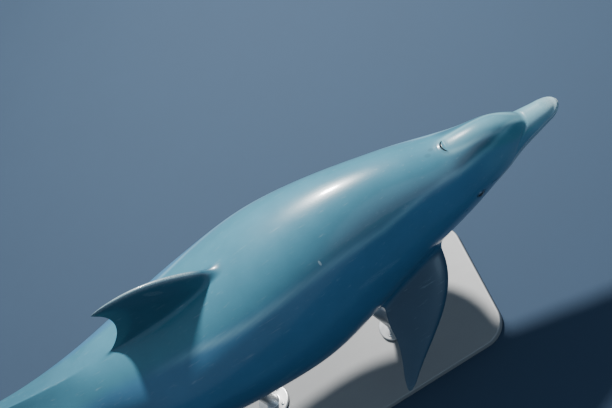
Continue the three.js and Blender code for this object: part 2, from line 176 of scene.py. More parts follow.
def spline(rows, column, at):
    """The natural cubic spline through a column of the rows, over their first column."""
    x, y = rows[:, 0], rows[:, column]
    step, last = np.diff(x), len(x) - 1
    slope = np.diff(y) / step
    system, right = np.eye(last + 1), np.zeros(last + 1)
    for i in range(1, last):
        system[i, i - 1:i + 2] = step[i - 1], 2 * (step[i - 1] + step[i]), step[i]
        right[i] = 6 * (slope[i] - slope[i - 1])
    bend = np.linalg.solve(system, right)
    t = np.clip(at, x[0], x[last])
    i = np.clip(np.searchsorted(x, t, side="right") - 1, 0, last - 1)
    a = (x[i + 1] - t) / step[i]
    b = 1 - a
    cubic = (a**3 - a) * bend[i] + (b**3 - b) * bend[i + 1]
    return a * y[i] + b * y[i + 1] + cubic * step[i] ** 2 / 6


def bezier(points, t):
    """The cubic Bezier curve of four points, at each t."""
    p = np.array(points, float)
    t = np.asarray(t, float)[..., None]
    u = 1 - t
    return u**3 * p[0] + 3 * u * u * t * p[1] + 3 * u * t * t * p[2] + t**3 * p[3]


def graded(start, end, spacing):
    """Values from start to end whose distances follow spacing, a table of (value, distance)."""
    fine = np.linspace(start, end, 4001)
    density = 1 / np.interp(fine, spacing[:, 0], spacing[:, 1])
    count = np.concatenate([[0], np.cumsum((density[1:] + density[:-1]) / 2 * np.diff(fine))])
    return np.interp(np.linspace(0, count[-1], int(round(count[-1])) + 1), count, fine)


# ---------------------------------------------------------------- the straight animal
def ring_point(rows, station, angle):
    """Side and level on a superellipse ring: half·cos^(2/n) and level + reach·sin^(2/n)."""
    half, top, bottom, level, above, below = (spline(rows, k, station) for k in range(1, 7))
    c, s = np.cos(angle), np.sin(angle)
    power = 2 / np.where(s >= 0, above, below)
    reach = np.where(s >= 0, top, bottom) - level
    return half * np.sign(c) * np.abs(c) ** power, level + reach * np.abs(s) ** power


def upness(angle):
    """How far a direction round the body points up: 0 just below the sides, 1 on the back."""
    return np.clip((np.sin(angle) + CREASE["below_side"]) / (1 + CREASE["below_side"]), 0, 1)


def crease_start(angle):
    """The station where the melon starts to rise from the beak, further back at the sides."""
    return lerp(CREASE["top"], CREASE["side"], (1 - upness(angle)) ** CREASE["bend"])


def tail_cap(station):
    """1 along the body, falling as a quarter circle to 0 at the notch between the flukes."""
    t = np.clip((station - TAIL_CAP["start"]) / TAIL_CAP["length"], 0, 1)
    return np.sqrt(1 - t * t)


def skin_point(station, angle):
    """The place of the skin: the beak's ring grows into the trunk's ring behind the crease, by
    1 - (1 - t)³, and both ends of the body are rounded off as quarter circles."""
    station, angle = np.broadcast_arrays(np.asarray(station, float), np.asarray(angle, float))
    rise = lerp(CREASE["rise_below"], CREASE["rise"], upness(angle))
    grown = 1 - (1 - np.clip((station - crease_start(angle)) / rise, 0, 1)) ** 3
    beak_side, beak_level = ring_point(BEAK, station, angle)
    trunk_side, trunk_level = ring_point(TRUNK, station, angle)
    ahead = 1 - np.clip(station / TIP["round"], 0, 1)
    blunt = np.sqrt(1 - ahead * ahead)
    cap = tail_cap(station)
    side = lerp(beak_side, trunk_side, grown) * blunt * cap
    level = TIP["level"] + (lerp(beak_level, trunk_level, grown) - TIP["level"]) * blunt
    level = TAIL_CAP["level"] + (level - TAIL_CAP["level"]) * cap
    above = smooth((level - spline(MOUTH, 1, station)) / 0.5) * smooth(1 - station / TIP["underbite_end"])
    return np.stack([station + TIP["underbite"] * above, side, level], -1)


def angle_at(station, level):
    """The angle at which the left half of each ring reaches a level."""
    quarter = np.full(np.shape(station), math.pi / 2)
    return halved(-quarter, quarter, lambda angle: skin_point(station, angle)[..., 2] < level)


def trunk_measure(place):
    """How far a place is out of the trunk, |side/half|ⁿ + |level/reach|ⁿ - 1, and its angle."""
    station, side, level = (place[..., k] for k in range(3))
    cap = np.maximum(tail_cap(station), 1e-3)
    side = side / cap
    level = TAIL_CAP["level"] + (level - TAIL_CAP["level"]) / cap
    half, top, bottom, middle, above, below = (spline(TRUNK, k, station) for k in range(1, 7))
    over = level >= middle
    power = np.where(over, above, below)
    reach = np.where(over, top - middle, middle - bottom)
    across = np.abs(side / half) ** power
    upward = np.abs((level - middle) / reach) ** power
    angle = np.arctan2(np.where(over, 1, -1) * np.sqrt(upward), np.sign(side) * np.sqrt(across))
    return across + upward - 1, angle


# ---------------------------------------------------------------- the pose
def spine_table():
    """The spine as short straight steps from station -3 to 106: station, yaw, pitch, roll and
    place in millimetres. A step runs along the mean of the directions at its two ends."""
    step = 0.25
    station = np.arange(-3, 106 + step / 2, step)
    head = smooth((HEAD_TURN["start"] - station) / (HEAD_TURN["start"] - HEAD_TURN["end"]))
    tail = smooth((station - TAIL_TURN["start"]) / (TAIL_TURN["end"] - TAIL_TURN["start"]))
    yaw = np.radians(HEAD_TURN["yaw"] * head + TAIL_TURN["yaw"] * tail)
    pitch = np.radians(HEAD_TURN["pitch"] * head + TAIL_TURN["pitch"] * tail)
    roll = np.radians(HEAD_TURN["roll"] * head)
    y, p = (yaw[1:] + yaw[:-1]) / 2, (pitch[1:] + pitch[:-1]) / 2
    ahead = np.stack([np.cos(y) * np.cos(p), np.sin(y) * np.cos(p), np.sin(p)], -1)
    place = np.concatenate([np.zeros((1, 3)), np.cumsum(-step * UNIT * ahead, 0)])
    place -= place[np.searchsorted(station, STILL_STATION)]
    place += [(BALANCE_STATION - STILL_STATION) * UNIT, 0, SPINE_HEIGHT]
    return station, yaw, pitch, roll, place


SPINE = spine_table()


def posed(place):
    """Places on the straight animal, as points of the posed one in metres: the spine's point plus
    side and level along its own left and up, which the roll turns about the way ahead."""
    station, yaws, pitches, rolls, points = SPINE
    at = place[..., 0]
    yaw, pitch, roll = (np.interp(at, station, turns)[..., None] for turns in (yaws, pitches, rolls))
    middle = np.stack([np.interp(at, station, points[:, k]) for k in range(3)], -1)
    level = np.concatenate([-np.sin(yaw), np.cos(yaw), 0 * yaw], -1)
    upright = np.concatenate([-np.cos(yaw) * np.sin(pitch), -np.sin(yaw) * np.sin(pitch), np.cos(pitch)], -1)
    left = np.cos(roll) * level - np.sin(roll) * upright
    up = np.cos(roll) * upright + np.sin(roll) * level
    return (middle + UNIT * (place[..., 1:2] * left + place[..., 2:3] * up)) / 1000


# ---------------------------------------------------------------- fins
def fin_point(fin, t, turn, through_sign, into):
    """A fin's surface: t runs from root to tip between its two edge curves, and turn goes round a
    section that is sin·(1 + nose·cos) thick, so it is round in front and thin behind. The section
    narrows as a quarter ellipse over the tip."""
    lead, trail = bezier(fin["front"], t), bezier(fin["rear"], t)
    root, tip = fin["thick"]
    thick = lerp(root, tip, t**0.8) * (1 - t**8) ** 0.7
    narrow = np.sqrt(1 - np.clip((t - 1 + TIP_ROUND) / TIP_ROUND, 0, 1) ** 2)
    along = (1 - narrow * np.cos(turn)) / 2
    through = through_sign * thick / 2 * np.sin(turn) * (1 + FIN_NOSE * np.cos(turn)) * FIN_SCALE
    at = lead + (trail - lead) * along[..., None]
    return into(at[..., 0], at[..., 1], through / UNIT)


def in_dorsal(back, out, through):
    return np.stack([back, through, out], -1)


def in_flipper(back, out, through):
    station, away, level = FLIPPER["root"]
    droop = math.radians(FLIPPER["droop"])
    side = away + out * math.cos(droop) + through * math.sin(droop)
    return np.stack([station + back, side, level - out * math.sin(droop) + through * math.cos(droop)], -1)


def in_fluke(back, out, through):
    span = FLUKE["front"][3][1]
    return np.stack([back, out, FLUKE["level"] + through - FLUKE["droop"] * (out / span) ** 2], -1)


# Where each fin is sewn in: the stations and the angles (degrees) of the opening, how wide the
# fillet is at its sides, front and rear in millimetres, and its rows over the span.
ROOTS = {
    "dorsal": {"fin": DORSAL, "into": in_dorsal, "sign": 1, "stations": (39.6, 63.2),
               "angles": (79, 101), "fillet": (20, 42, 26), "rows": 34},
    "flipper": {"fin": FLIPPER, "into": in_flipper, "sign": -1, "stations": (18.4, 32.0),
                "angles": (-66, -26), "fillet": (30, 34, 46), "rows": 34},
    "fluke": {"fin": FLUKE, "into": in_fluke, "sign": -1, "stations": (86.8, 99.6),
              "angles": (-38, 38), "fillet": (12, 30, 10), "rows": 36},
}
SKIN_ROWS, FILLET_ROWS = 6, 8  # rows from a fin's opening to its fillet, and over the fillet
SECTION_END = 0.25  # half the angle of a fin's section that the front or rear of its opening takes
# The rows from a window to the opening in it, how much closer they get to its rim, and the sizes of
# the rows inside the rim.
OPENING = {"rows": 16, "crowding": 1.35, "inner": (0.95, 0.86, 0.7, 0.45, 0.15)}


class Shell:
    """Points and faces gathered piece by piece. Each point has its place, the angle round the
    body, how far out on a fin it is (0 to 1), and its distance from the eye's and the blowhole's
    edge in millimetres (far away where it belongs to neither)."""

    FAR = 999.0

    def __init__(self):
        self.columns = {"place": [], "angle": [], "fin": [], "lid": [], "nostril": []}
        self.faces = []
        self.count = 0

    def add(self, place, angle, fin=0.0, lid=FAR, nostril=FAR):
        """Adds a block of points and returns their numbers in the block's own shape."""
        shape = place.shape[:-1]
        self.columns["place"].append(place.reshape(-1, 3))
        for name, value in (("angle", angle), ("fin", fin), ("lid", lid), ("nostril", nostril)):
            self.columns[name].append(np.broadcast_to(value, shape).reshape(-1))
        numbers = self.count + np.arange(np.prod(shape)).reshape(shape)
        self.count += numbers.size
        return numbers

    def quads(self, a, b, c, d, turned=False):
        corners = [np.ravel(k) for k in (a, b, c, d)]
        self.faces.append(np.stack(corners[::-1] if turned else corners, -1))

    def band(self, loop, rows, turned=False):
        """Quads from a closed loop of points outwards through the rows of a block."""
        every = np.concatenate([loop[None], rows])
        here, ahead = every[:-1], every[1:]
        self.quads(here, np.roll(here, -1, 1), np.roll(ahead, -1, 1), ahead, turned)

    def fan(self, loop, pole, turned=False):
        """Triangles from a loop to one point, kept as quads whose last two corners are one."""
        tip = np.full(loop.shape, pole)
        self.quads(loop, np.roll(loop, -1), tip, tip, turned)

    def finished(self):
        """All columns and faces; a face with one corner twice is turned until these come last."""
        faces = np.concatenate(self.faces)
        for k in (0, 1, 3):
            double = faces[:, k] == faces[:, (k + 1) % 4]
            faces[double] = np.roll(faces[double], 2 - k, axis=1)
        return {name: np.concatenate(parts) for name, parts in self.columns.items()}, faces


def window(rows, columns):
    """The ring of grid points round a window, as (row, column) numbers that run tailwards along
    the first column and headwards along the last."""
    (i0, i1), (j0, j1) = rows, columns
    long, wide = i1 - i0, j1 - j0
    i = np.concatenate([np.arange(i0, i1), np.full(wide, i1), np.arange(i1, i0, -1), np.full(wide, i0)])
    j = np.concatenate([np.full(long, j0), np.arange(j0, j1), np.full(long, j1), np.arange(j1, j0, -1)])
    return i, j


# How far apart the grid's rows lie in stations, and its columns in degrees below the side, at
# fineness 1. The station where its last row lies, and the one behind the eye where the side column
# is back on the side.
ROW_GAPS = np.array([
    [1.6, 0.12], [3, 0.14], [11, 0.14], [12, 0.115], [14.5, 0.125], [17, 0.22], [22, 0.3], [30, 0.46],
    [86, 0.48], [90, 0.34], [97, 0.3], [99, 0.18], [100, 0.08],
])
COLUMN_GAPS = np.array([[-90, 1.9], [-60, 2.4], [-25, 1.9], [-8, 1.25], [-2, 0.6], [0, 0.5]])
BODY_END, FOLLOW_END = 100.06, 19.0


class BodyGrid:
    """The body's grid of rows (stations) and columns (angles). A column that starts on the side
    follows the line of the mouth back to the eye, and the columns mirror each other."""

    def __init__(self, fineness):
        nose = TIP["round"] * (1 - np.cos(np.linspace(0.07, 1.5, 15)))
        back = graded(nose[-1] + 0.1, BODY_END, ROW_GAPS / [1, fineness])
        self.station = np.concatenate([nose, back])
        lower = graded(-90, 0, COLUMN_GAPS / [1, fineness])
        half = np.concatenate([lower, -lower[-2::-1]])
        self.base = np.concatenate([half, 180 - half[-2:0:-1]])
        self.turn = len(half) - 1  # the column on the back
        self.side = len(lower) - 1  # the column that follows the mouth
        base = np.radians(self.base)
        self.angle = base + self.follow()[:, None] * np.cos(base) * np.abs(np.cos(base))
        self.place = skin_point(self.station[:, None], self.angle)

    def follow(self):
        """How far the side column is turned at each row, to lie on the mouth and on the eye."""
        station = self.station
        corner = MOUTH[-1, 0]
        mouth = angle_at(np.minimum(station, corner), spline(MOUTH, 1, np.minimum(station, corner)))
        eye = angle_at(np.array(EYE["station"]), EYE["level"])
        to_eye = lerp(mouth, eye, smooth((station - corner) / (EYE["station"] - corner)))
        given_up = FOLLOW_END - EYE["station"]
        return to_eye * smooth((FOLLOW_END - station) / given_up) * smooth(station / 0.6)

    def mirror(self, columns):
        return (2 * self.turn - columns) % len(self.base)

    def sided(self, columns, mirrored):
        """A window's first and last column, or those of its mirror image."""
        return tuple(sorted(self.mirror(np.array(columns)))) if mirrored else columns

    def nearest_row(self, station):
        return int(np.argmin(np.abs(self.station - station)))

    def nearest_column(self, degrees):
        return int(np.argmin(np.abs(self.base - degrees)))


def section_turns(grid, rows, columns):
    """The angle round a fin's section for each point of its window: the window's front and rear
    take the two ends of the section, and its long sides share out the rest by their stations."""
    first = (1 - math.cos(SECTION_END)) / 2
    start, length = grid.station[rows[0]], grid.station[rows[1]] - grid.station[rows[0]]
    across = columns[1] - columns[0]

    def side(stations):
        return np.arccos(1 - 2 * lerp(first, 1 - first, (stations - start) / length))

    end = 2 * SECTION_END * np.arange(across) / across - SECTION_END
    there, back = side(grid.station[rows[0]:rows[1]]), side(grid.station[rows[1]:rows[0]:-1])
    return np.concatenate([there, math.pi + end, 2 * math.pi - back, 2 * math.pi + end])


def mirror_image(place, angle):
    return place * [1, -1, 1], math.pi - angle


def sew_fin(shell, grid, numbers, name, mirrored):
    """Sews a fin into its opening in the body: rows run over the skin to the fillet's foot, up a
    quadratic Bezier fillet whose middle point is where fin and body cross, and out to the tip."""
    root = ROOTS[name]
    rows = tuple(grid.nearest_row(s) for s in root["stations"])
    columns = tuple(grid.nearest_column(a) for a in root["angles"])
    i, j = window(rows, columns)
    turn = section_turns(grid, rows, columns)

    def point(t, around=turn):
        t, around = np.broadcast_arrays(t, around)
        return fin_point(root["fin"], t, around, root["sign"], root["into"])

    deepest = np.full(len(turn), 0.7)
    start = halved(0 * deepest, deepest, lambda t: trunk_measure(point(t))[0] < 0)
    cross = point(start)
    cross_angle = trunk_measure(cross)[1]
    foot = skin_point(grid.station[i], grid.angle[i, j])
    reach = UNIT * np.linalg.norm(cross - foot, axis=-1)
    side, front, rear = root["fillet"]
    ahead, behind = ((1 + np.cos(turn)) / 2) ** 6, ((1 - np.cos(turn)) / 2) ** 6
    fillet = np.minimum(side + (front - side) * ahead + (rear - side) * behind, 0.8 * reach)
    over = (1 - fillet / reach) * np.linspace(0, 1, SKIN_ROWS + 1)[1:, None]
    angle = lerp(grid.angle[i, j], cross_angle, over)
    skin = skin_point(lerp(grid.station[i], cross[:, 0], over), angle)
    small = 0.01
    climb = UNIT * np.linalg.norm(point(start + small) - cross, axis=-1) / small
    top = start + fillet / climb
    u = np.linspace(0, 1, FILLET_ROWS + 1)[1:, None, None]
    curve = (1 - u) ** 2 * skin[-1] + 2 * u * (1 - u) * cross + u**2 * point(top)
    outer = np.sin(np.linspace(0, 1, root["rows"] + 1)[1:] * math.pi / 2)[:, None]
    spans = top + (FIN_END - top) * outer
    block = np.concatenate([skin, curve, point(spans)])
    angles = np.concatenate([angle, np.broadcast_to(cross_angle, (len(curve) + len(spans), len(turn)))])
    out = np.concatenate([
        np.broadcast_to(FIN_FOOT * over**2, skin.shape[:2]),
        np.broadcast_to(lerp(FIN_FOOT, FIN_ROOT, u[:, :, 0]), curve.shape[:2]),
        lerp(FIN_ROOT, 1, (spans - top) / (1 - top)),
    ])
    tip = point(np.array([FIN_TIP]), np.array([math.pi / 2]))
    tip[..., 1:] = block[-1, :, 1:].mean(0)
    if mirrored:
        tip, _ = mirror_image(tip, 0)
        block, angles = mirror_image(block, angles)
    loop = numbers[i, grid.mirror(j) if mirrored else j]
    added = shell.add(block, angles, fin=out)
    shell.band(loop, added, turned=mirrored)
    shell.fan(added[-1], shell.add(tip, angles[-1, :1], fin=1.0)[0], turned=mirrored)
    return rows, grid.sided(columns, mirrored)


def tangents(station, angle):
    """The skin's steps along the station and along the angle, in millimetres."""
    small = 1e-3
    along = UNIT * (skin_point(station + small, angle) - skin_point(station - small, angle)) / (2 * small)
    around = UNIT * (skin_point(station, angle + small) - skin_point(station, angle - small)) / (2 * small)
    return along, around


def eye_middle():
    """The place of the left eyeball's middle, sunk straight into the side of the head."""
    skin = skin_point(EYE["station"], angle_at(np.array(EYE["station"]), EYE["level"]))
    return skin - [0, (EYE["radius"] - EYE["proud"]) / UNIT, 0]


def eye_foot():
    """The station and angle of the skin right over the eyeball's middle, in three Newton steps."""
    station, angle = float(EYE["station"]), float(angle_at(np.array(EYE["station"]), EYE["level"]))
    for _ in range(3):
        away = UNIT * (eye_middle() - skin_point(station, angle))
        along, around = tangents(station, angle)
        station += float(away @ along / (along @ along))
        angle += float(away @ around / (around @ around))
    return station, angle


def lid_ring(turn, size):
    """The eye's opening in millimetres, tailwards and upwards: an almond with pointed corners."""
    c, s = np.cos(turn), np.sin(turn)
    long, high = EYE["opening"]
    return long * size * np.sign(c) * np.abs(c) ** 0.9, high * size * np.sign(s) * np.abs(s) ** 1.2


def blowhole_ring(turn, size):
    """The blowhole's rim in millimetres, tailwards and to the right: a lens bent round an arc."""
    half, bow = BLOWHOLE["half"], BLOWHOLE["bow"]
    radius = (half * half + bow * bow) / (2 * bow)
    reach = math.asin(half / radius)
    swing = np.sin(turn) * reach
    off = radius + BLOWHOLE["wide"] * size * np.cos(turn)
    return off * np.cos(swing) - radius * math.cos(reach), off * np.sin(swing)


def sew_opening(shell, grid, numbers, rows, columns, ring, middle, kind, mirrored=False):
    """Sews an opening into a window of the body: rows run over the skin from the window to the
    opening's rim, then on inwards. The numbers of the last row are returned."""
    i, j = window(rows, columns)
    lengthwise, across = rows[1] - rows[0], columns[1] - columns[0]
    ends = [np.linspace(-1, 1, n + 1) for n in (lengthwise, across)]
    x = np.concatenate([ends[0][:-1], np.ones(across), ends[0][:0:-1], -np.ones(across)])
    y = np.concatenate([-np.ones(lengthwise), ends[1][:-1], np.ones(lengthwise), ends[1][:0:-1]])
    turn = np.arctan2(y, x)
    station, angle = middle
    along, around = (np.linalg.norm(v) for v in tangents(station, angle))
    outer = 1 - (1 - np.linspace(0, 1, OPENING["rows"] + 1)[1:]) ** OPENING["crowding"]
    rim = ring(turn, 1.0)
    rim_at = station + rim[0] / along, angle + rim[1] / around
    stations = lerp(grid.station[i], rim_at[0], outer[:, None])
    angles = lerp(grid.angle[i, j], rim_at[1], outer[:, None])
    inside = ring(turn, np.array(OPENING["inner"])[:, None])
    stations = np.concatenate([stations, station + inside[0] / along])
    angles = np.concatenate([angles, angle + inside[1] / around])
    block = skin_point(stations, angles)
    edge = skin_point(*rim_at)
    gap = UNIT * np.linalg.norm(block - edge, axis=-1)
    gap[len(outer):] *= -1
    if mirrored:
        block, angles = mirror_image(block, angles)
    loop = numbers[i, grid.mirror(j) if mirrored else j]
    added = shell.add(block, angles, **{kind: gap})
    shell.band(loop, added, turned=mirrored)
    return added[-1]


def window_round(middle, window):
    """The first and last row and column of a window, from its middle and its half sizes."""
    return tuple((at - half, at + half) for at, half in zip(middle, window))


def sew_eye(shell, grid, numbers, mirrored):
    """Sews in an eyelid opening, shut by a fan that lies hidden inside the eyeball."""
    foot = eye_foot()
    rows, columns = window_round((grid.nearest_row(foot[0]), grid.side), EYE["window"])
    last = sew_opening(shell, grid, numbers, rows, columns, lid_ring, foot, "lid", mirrored)
    pole, angle = skin_point(*foot)[None], foot[1]
    if mirrored:
        pole, angle = mirror_image(pole, angle)
    shell.fan(last, shell.add(pole, angle, lid=-6.0)[0], turned=mirrored)
    return rows, grid.sided(columns, mirrored)


def sew_blowhole(shell, grid, numbers):
    """Sews in the blowhole, whose last ring is zipped shut along the middle of the slit."""
    middle = grid.nearest_row(BLOWHOLE["station"] + 0.3)
    rows, columns = window_round((middle, grid.turn), BLOWHOLE["window"])
    foot = (BLOWHOLE["station"], math.pi / 2)
    last = sew_opening(shell, grid, numbers, rows, columns, blowhole_ring, foot, "nostril")
    half = len(last) // 2
    start = (rows[1] - rows[0]) // 2
    steps = np.arange(half)
    one, other = (start + steps) % len(last), (start - steps) % len(last)
    nexts = (start + steps + 1) % len(last), (start - steps - 1) % len(last)
    shell.quads(last[one], last[nexts[0]], last[nexts[1]], last[other])
    return rows, columns


# ---------------------------------------------------------------- the skin's relief
def point_normals(points, faces):
    """Each point's normal: the sum of the cross products of its quads' diagonals, scaled to 1."""
    a, b, c, d = (points[faces[:, k]] for k in range(4))
    normal = np.cross(c - a, d - b)
    total = np.stack([
        np.bincount(faces.ravel(), np.repeat(normal[:, k], 4), len(points)) for k in range(3)
    ], -1)
    return total / np.maximum(np.linalg.norm(total, axis=-1, keepdims=True), 1e-12)


def over_mouth(place):
    """How far places lie above the line of the mouth, in millimetres."""
    return UNIT * (place[:, 2] - spline(MOUTH, 1, place[:, 0]))


def relief(data, points, normals):
    """How far each point is raised along its normal, in millimetres: the mouth's groove between its
    lips, the crease before the melon, the blowhole's rim, the folds, the keel and the eyelids."""
    station = data["place"][:, 0]
    on_body = data["fin"] <= FIN_FOOT
    corner = smooth((MOUTH[-1, 0] + 0.35 - station) / 0.7)
    lips = ripples(np.abs(over_mouth(data["place"])), LIP_RIPPLES)
    rise = np.where(on_body & (station < 13), corner * lips, 0)
    behind_crease = UNIT * (station - crease_start(data["angle"]) - 0.1)
    high = smooth((np.sin(data["angle"]) - 0.05) / 0.35)
    rise = rise - np.where(on_body & (station < 16), 2.6 * high * bump(behind_crease, 4.5), 0)
    rise = rise + blowhole_relief(data["nostril"]) + fold_relief(data) + keel_relief(data)
    for sign in (1, -1):
        rise = rise + lid_relief(data, points, normals, sign)
    return rise


def fold_relief(data):
    """Shallow folds round the throat and behind the head, the ears' pinholes, and the navel, the
    slit and the vent along the middle of the belly."""
    station, side, level = (data["place"][:, k] for k in range(3))
    rise = np.zeros(len(station))
    for middle, lean, width, deep, top in FOLDS:
        across = UNIT * (station - middle - lean * np.sin(data["angle"]))
        rise = rise - deep * bump(across, width) * between(level, -9, 3, top, 3)
    ear = UNIT * np.hypot(station - EAR[0], level - EAR[1])
    rise = rise + ripples(ear, EAR_RIPPLES)
    for middle, length, width, deep in SLITS:
        along = smooth((length - np.abs(station - middle)) / (0.35 * length))
        aside = UNIT * np.abs(side)
        under = smooth(-np.sin(data["angle"]) / 0.5)
        lips = 0.3 * bump(aside - 1.6 * width, width)
        rise = rise + deep * along * under * (lips - bump(aside, width))
    return np.where(data["fin"] <= FIN_FOOT, rise, 0)


def keel_relief(data):
    """Hollows along both sides of the tail stock's top, which leave a keel between them:
    depth·sin(π·x), where x is the angle from the top as a share of the spread."""
    station = data["place"][:, 0]
    from_top = math.pi / 2 - np.arcsin(np.sin(data["angle"]))
    hollow = np.sin(math.pi * np.clip(from_top / KEEL["spread"], 0, 1))
    return -KEEL["depth"] * between(station, *KEEL["span"]) * hollow * (1 - smooth(data["fin"] / FIN_FOOT))


def blowhole_relief(gap):
    """A low swelling with a rim, then the slit: it falls six millimetres within three."""
    swelling = ripples(gap, RIM_RIPPLES) * smooth((30 - gap) / 12)
    return np.where(gap >= 0, swelling, 1.9 - 8.0 * smooth(-gap / 3.2))


def lid_relief(data, points, normals, sign):
    """The lids are a shell over the eyeball, on the sphere where |point + rise·normal - middle| is
    the eyeball's radius plus the lid. Inside the rim the skin dives just under the eyeball."""
    gap = np.where(np.sign(points[:, 1]) == sign, data["lid"], Shell.FAR)
    near = gap < Shell.FAR / 2
    middle = eye_middle() * [-UNIT, sign * UNIT, UNIT]
    from_middle = points - middle
    height = np.sum(from_middle * normals, -1)
    wide = np.sum(from_middle**2, -1) - height**2

    def over(radius):
        return np.sqrt(np.maximum(radius**2 - wide, 0)) - height

    lid = over(EYE["radius"] + LID["thick"])
    lid = (lid + np.sqrt(lid**2 + LID["soft"])) / 2
    outside = lid + ripples(gap, LID_RIPPLES) * smooth((22 - gap) / 6)
    inside = over(EYE["radius"] - LID["sunk"]) - LID["dive"] * smooth((-gap - 0.8) / 3)
    blend = smooth(-gap / 0.8)
    return np.where(near, lerp(outside, inside, blend), 0)


def skin_surface(fineness):
    """The whole skin: the body's grid with the fins, the eyelids and the blowhole sewn in."""
    grid = BodyGrid(fineness)
    shell = Shell()
    numbers = shell.add(grid.place, grid.angle)
    open_cells = np.ones((len(grid.station) - 1, len(grid.base)), bool)

    def cut(rows, columns):
        open_cells[rows[0]:rows[1], columns[0]:columns[1]] = False

    for name in ROOTS:
        for mirrored in (False, True) if name != "dorsal" else (False,):
            cut(*sew_fin(shell, grid, numbers, name, mirrored))
    for mirrored in (False, True):
        cut(*sew_eye(shell, grid, numbers, mirrored))
    cut(*sew_blowhole(shell, grid, numbers))
    i, j = np.nonzero(open_cells)
    following = (j + 1) % len(grid.base)
    shell.quads(numbers[i, j], numbers[i + 1, j], numbers[i + 1, following], numbers[i, following])
    snout = shell.add(np.array([[0.0, 0.0, TIP["level"]]]), np.zeros(1))
    shell.fan(numbers[0], snout[0])
    notch = shell.add(np.array([[100.1, 0.0, TAIL_CAP["level"]]]), np.zeros(1))
    shell.fan(numbers[-1][::-1], notch[0])
    return shell.finished()


def tidy_points(data, faces):
    """Drops the points that no face uses."""
    used = np.zeros(len(data["place"]), bool)
    used[faces] = True
    order = np.cumsum(used) - 1
    return {name: column[used] for name, column in data.items()}, order[faces]


# ---------------------------------------------------------------- meshes
def mesh_object(name, points, faces, attributes=None):
    """A smooth mesh from points in metres and quads; a quad whose last two corners are one point
    becomes a triangle. Attributes are one number or one vector for each point."""
    mesh = bpy.data.meshes.new(name)
    sides = np.where(faces[:, 2] == faces[:, 3], 3, 4)
    keep = np.ones(faces.shape, bool)
    keep[:, 3] = sides == 4
    loops = faces[keep]
    mesh.vertices.add(len(points))
    mesh.vertices.foreach_set("co", np.ascontiguousarray(points, np.float32).ravel())
    mesh.loops.add(len(loops))
    mesh.loops.foreach_set("vertex_index", loops.astype(np.int32))
    mesh.polygons.add(len(faces))
    mesh.polygons.foreach_set("loop_start", np.concatenate([[0], np.cumsum(sides)[:-1]]).astype(np.int32))
    mesh.polygons.foreach_set("use_smooth", np.ones(len(faces), bool))
    mesh.update(calc_edges=True)
    for label, values in (attributes or {}).items():
        kind, key = ("FLOAT_VECTOR", "vector") if values.ndim == 2 else ("FLOAT", "value")
        layer = mesh.attributes.new(label, kind, "POINT")
        layer.data.foreach_set(key, np.ascontiguousarray(values, np.float32).ravel())
    if mesh.validate():
        raise RuntimeError(f"the mesh of {name} had faces that are not valid")
    thing = bpy.data.objects.new(name, mesh)
    bpy.context.scene.collection.objects.link(thing)
    return thing


def dressed(thing, material, slot, *nodes):
    """Gives a piece its material, lets it ride on the body and stand for its CAD nodes."""
    thing.data.materials.append(material)
    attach(thing, BODY)
    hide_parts(*nodes)
    return thing


def grid_faces(rows, columns):
    """Quads of a grid of points that closes on itself column-wise."""
    numbers = np.arange(rows * columns).reshape(rows, columns)
    here, ahead = numbers[:-1], numbers[1:]
    corners = here, np.roll(here, -1, 1), np.roll(ahead, -1, 1), ahead
    return np.stack([np.ravel(c) for c in corners], -1)


def cap(loop, pole):
    """Triangles from a loop of point numbers to one point, as quads whose last corners are one."""
    tip = np.full(len(loop), pole)
    return np.stack([loop, np.roll(loop, -1), tip, tip], -1)


def turned_profile(profile, middle, sides):
    """A profile of (radius, height) rows carried round an upright axis, as points and quads."""
    turn = np.linspace(0, 2 * math.pi, sides, endpoint=False)
    radius, height = (np.asarray(profile, float)[:, k, None] for k in range(2))
    x, y = middle[0] + radius * np.cos(turn), middle[1] + radius * np.sin(turn)
    points = np.stack([x, y, np.broadcast_to(height, x.shape)], -1)
    return points.reshape(-1, 3), grid_faces(len(profile), sides)


def joined(parts):
    """Several (points, faces) as one."""
    points = np.concatenate([p for p, _ in parts])
    starts = np.cumsum([0] + [len(p) for p, _ in parts[:-1]])
    return points, np.concatenate([f + s for (_, f), s in zip(parts, starts)])


# ---------------------------------------------------------------- materials
class Nodes:
    """A small helper that adds nodes to a tree and links what it is given."""

    def __init__(self, tree):
        self.tree = tree

    def add(self, kind, settings=None, **inputs):
        node = self.tree.nodes.new(kind)
        for name, value in (settings or {}).items():
            setattr(node, name, value)
        for name, value in inputs.items():
            socket = node.inputs[int(name[1:])] if name[1:].isdigit() else node.inputs[name.replace("_", " ")]
            self.feed(socket, value)
        return node

    def feed(self, socket, value):
        if isinstance(value, bpy.types.NodeSocket):
            self.tree.links.new(value, socket)
        else:
            socket.default_value = value

    def math(self, operation, *values):
        inputs = {f"i{k}": value for k, value in enumerate(values)}
        return self.add("ShaderNodeMath", {"operation": operation}, **inputs).outputs[0]

    def mix(self, factor, a, b):
        node = self.tree.nodes.new("ShaderNodeMix")
        node.data_type = "RGBA"
        for number, value in ((0, factor), (6, a), (7, b)):
            self.feed(node.inputs[number], value)
        return node.outputs[2]

    def ramp(self, value, low, high, first=0.0, last=1.0):
        node = self.add("ShaderNodeMapRange", {"interpolation_type": "SMOOTHSTEP"})
        for number, item in enumerate((value, low, high, first, last)):
            self.feed(node.inputs[number], item)
        return node.outputs[0]

    def attribute(self, name, output="Fac"):
        return self.add("ShaderNodeAttribute", {"attribute_name": name}).outputs[output]

    def noise(self, vector, scale, detail=3.0, roughness=0.55):
        texture = self.add("ShaderNodeTexNoise", None, Vector=vector, Scale=scale, Detail=detail,
                           Roughness=roughness)
        return texture.outputs["Fac"]


FLOAT, VECTOR, COLOR = "NodeSocketFloat", "NodeSocketVector", "NodeSocketColor"


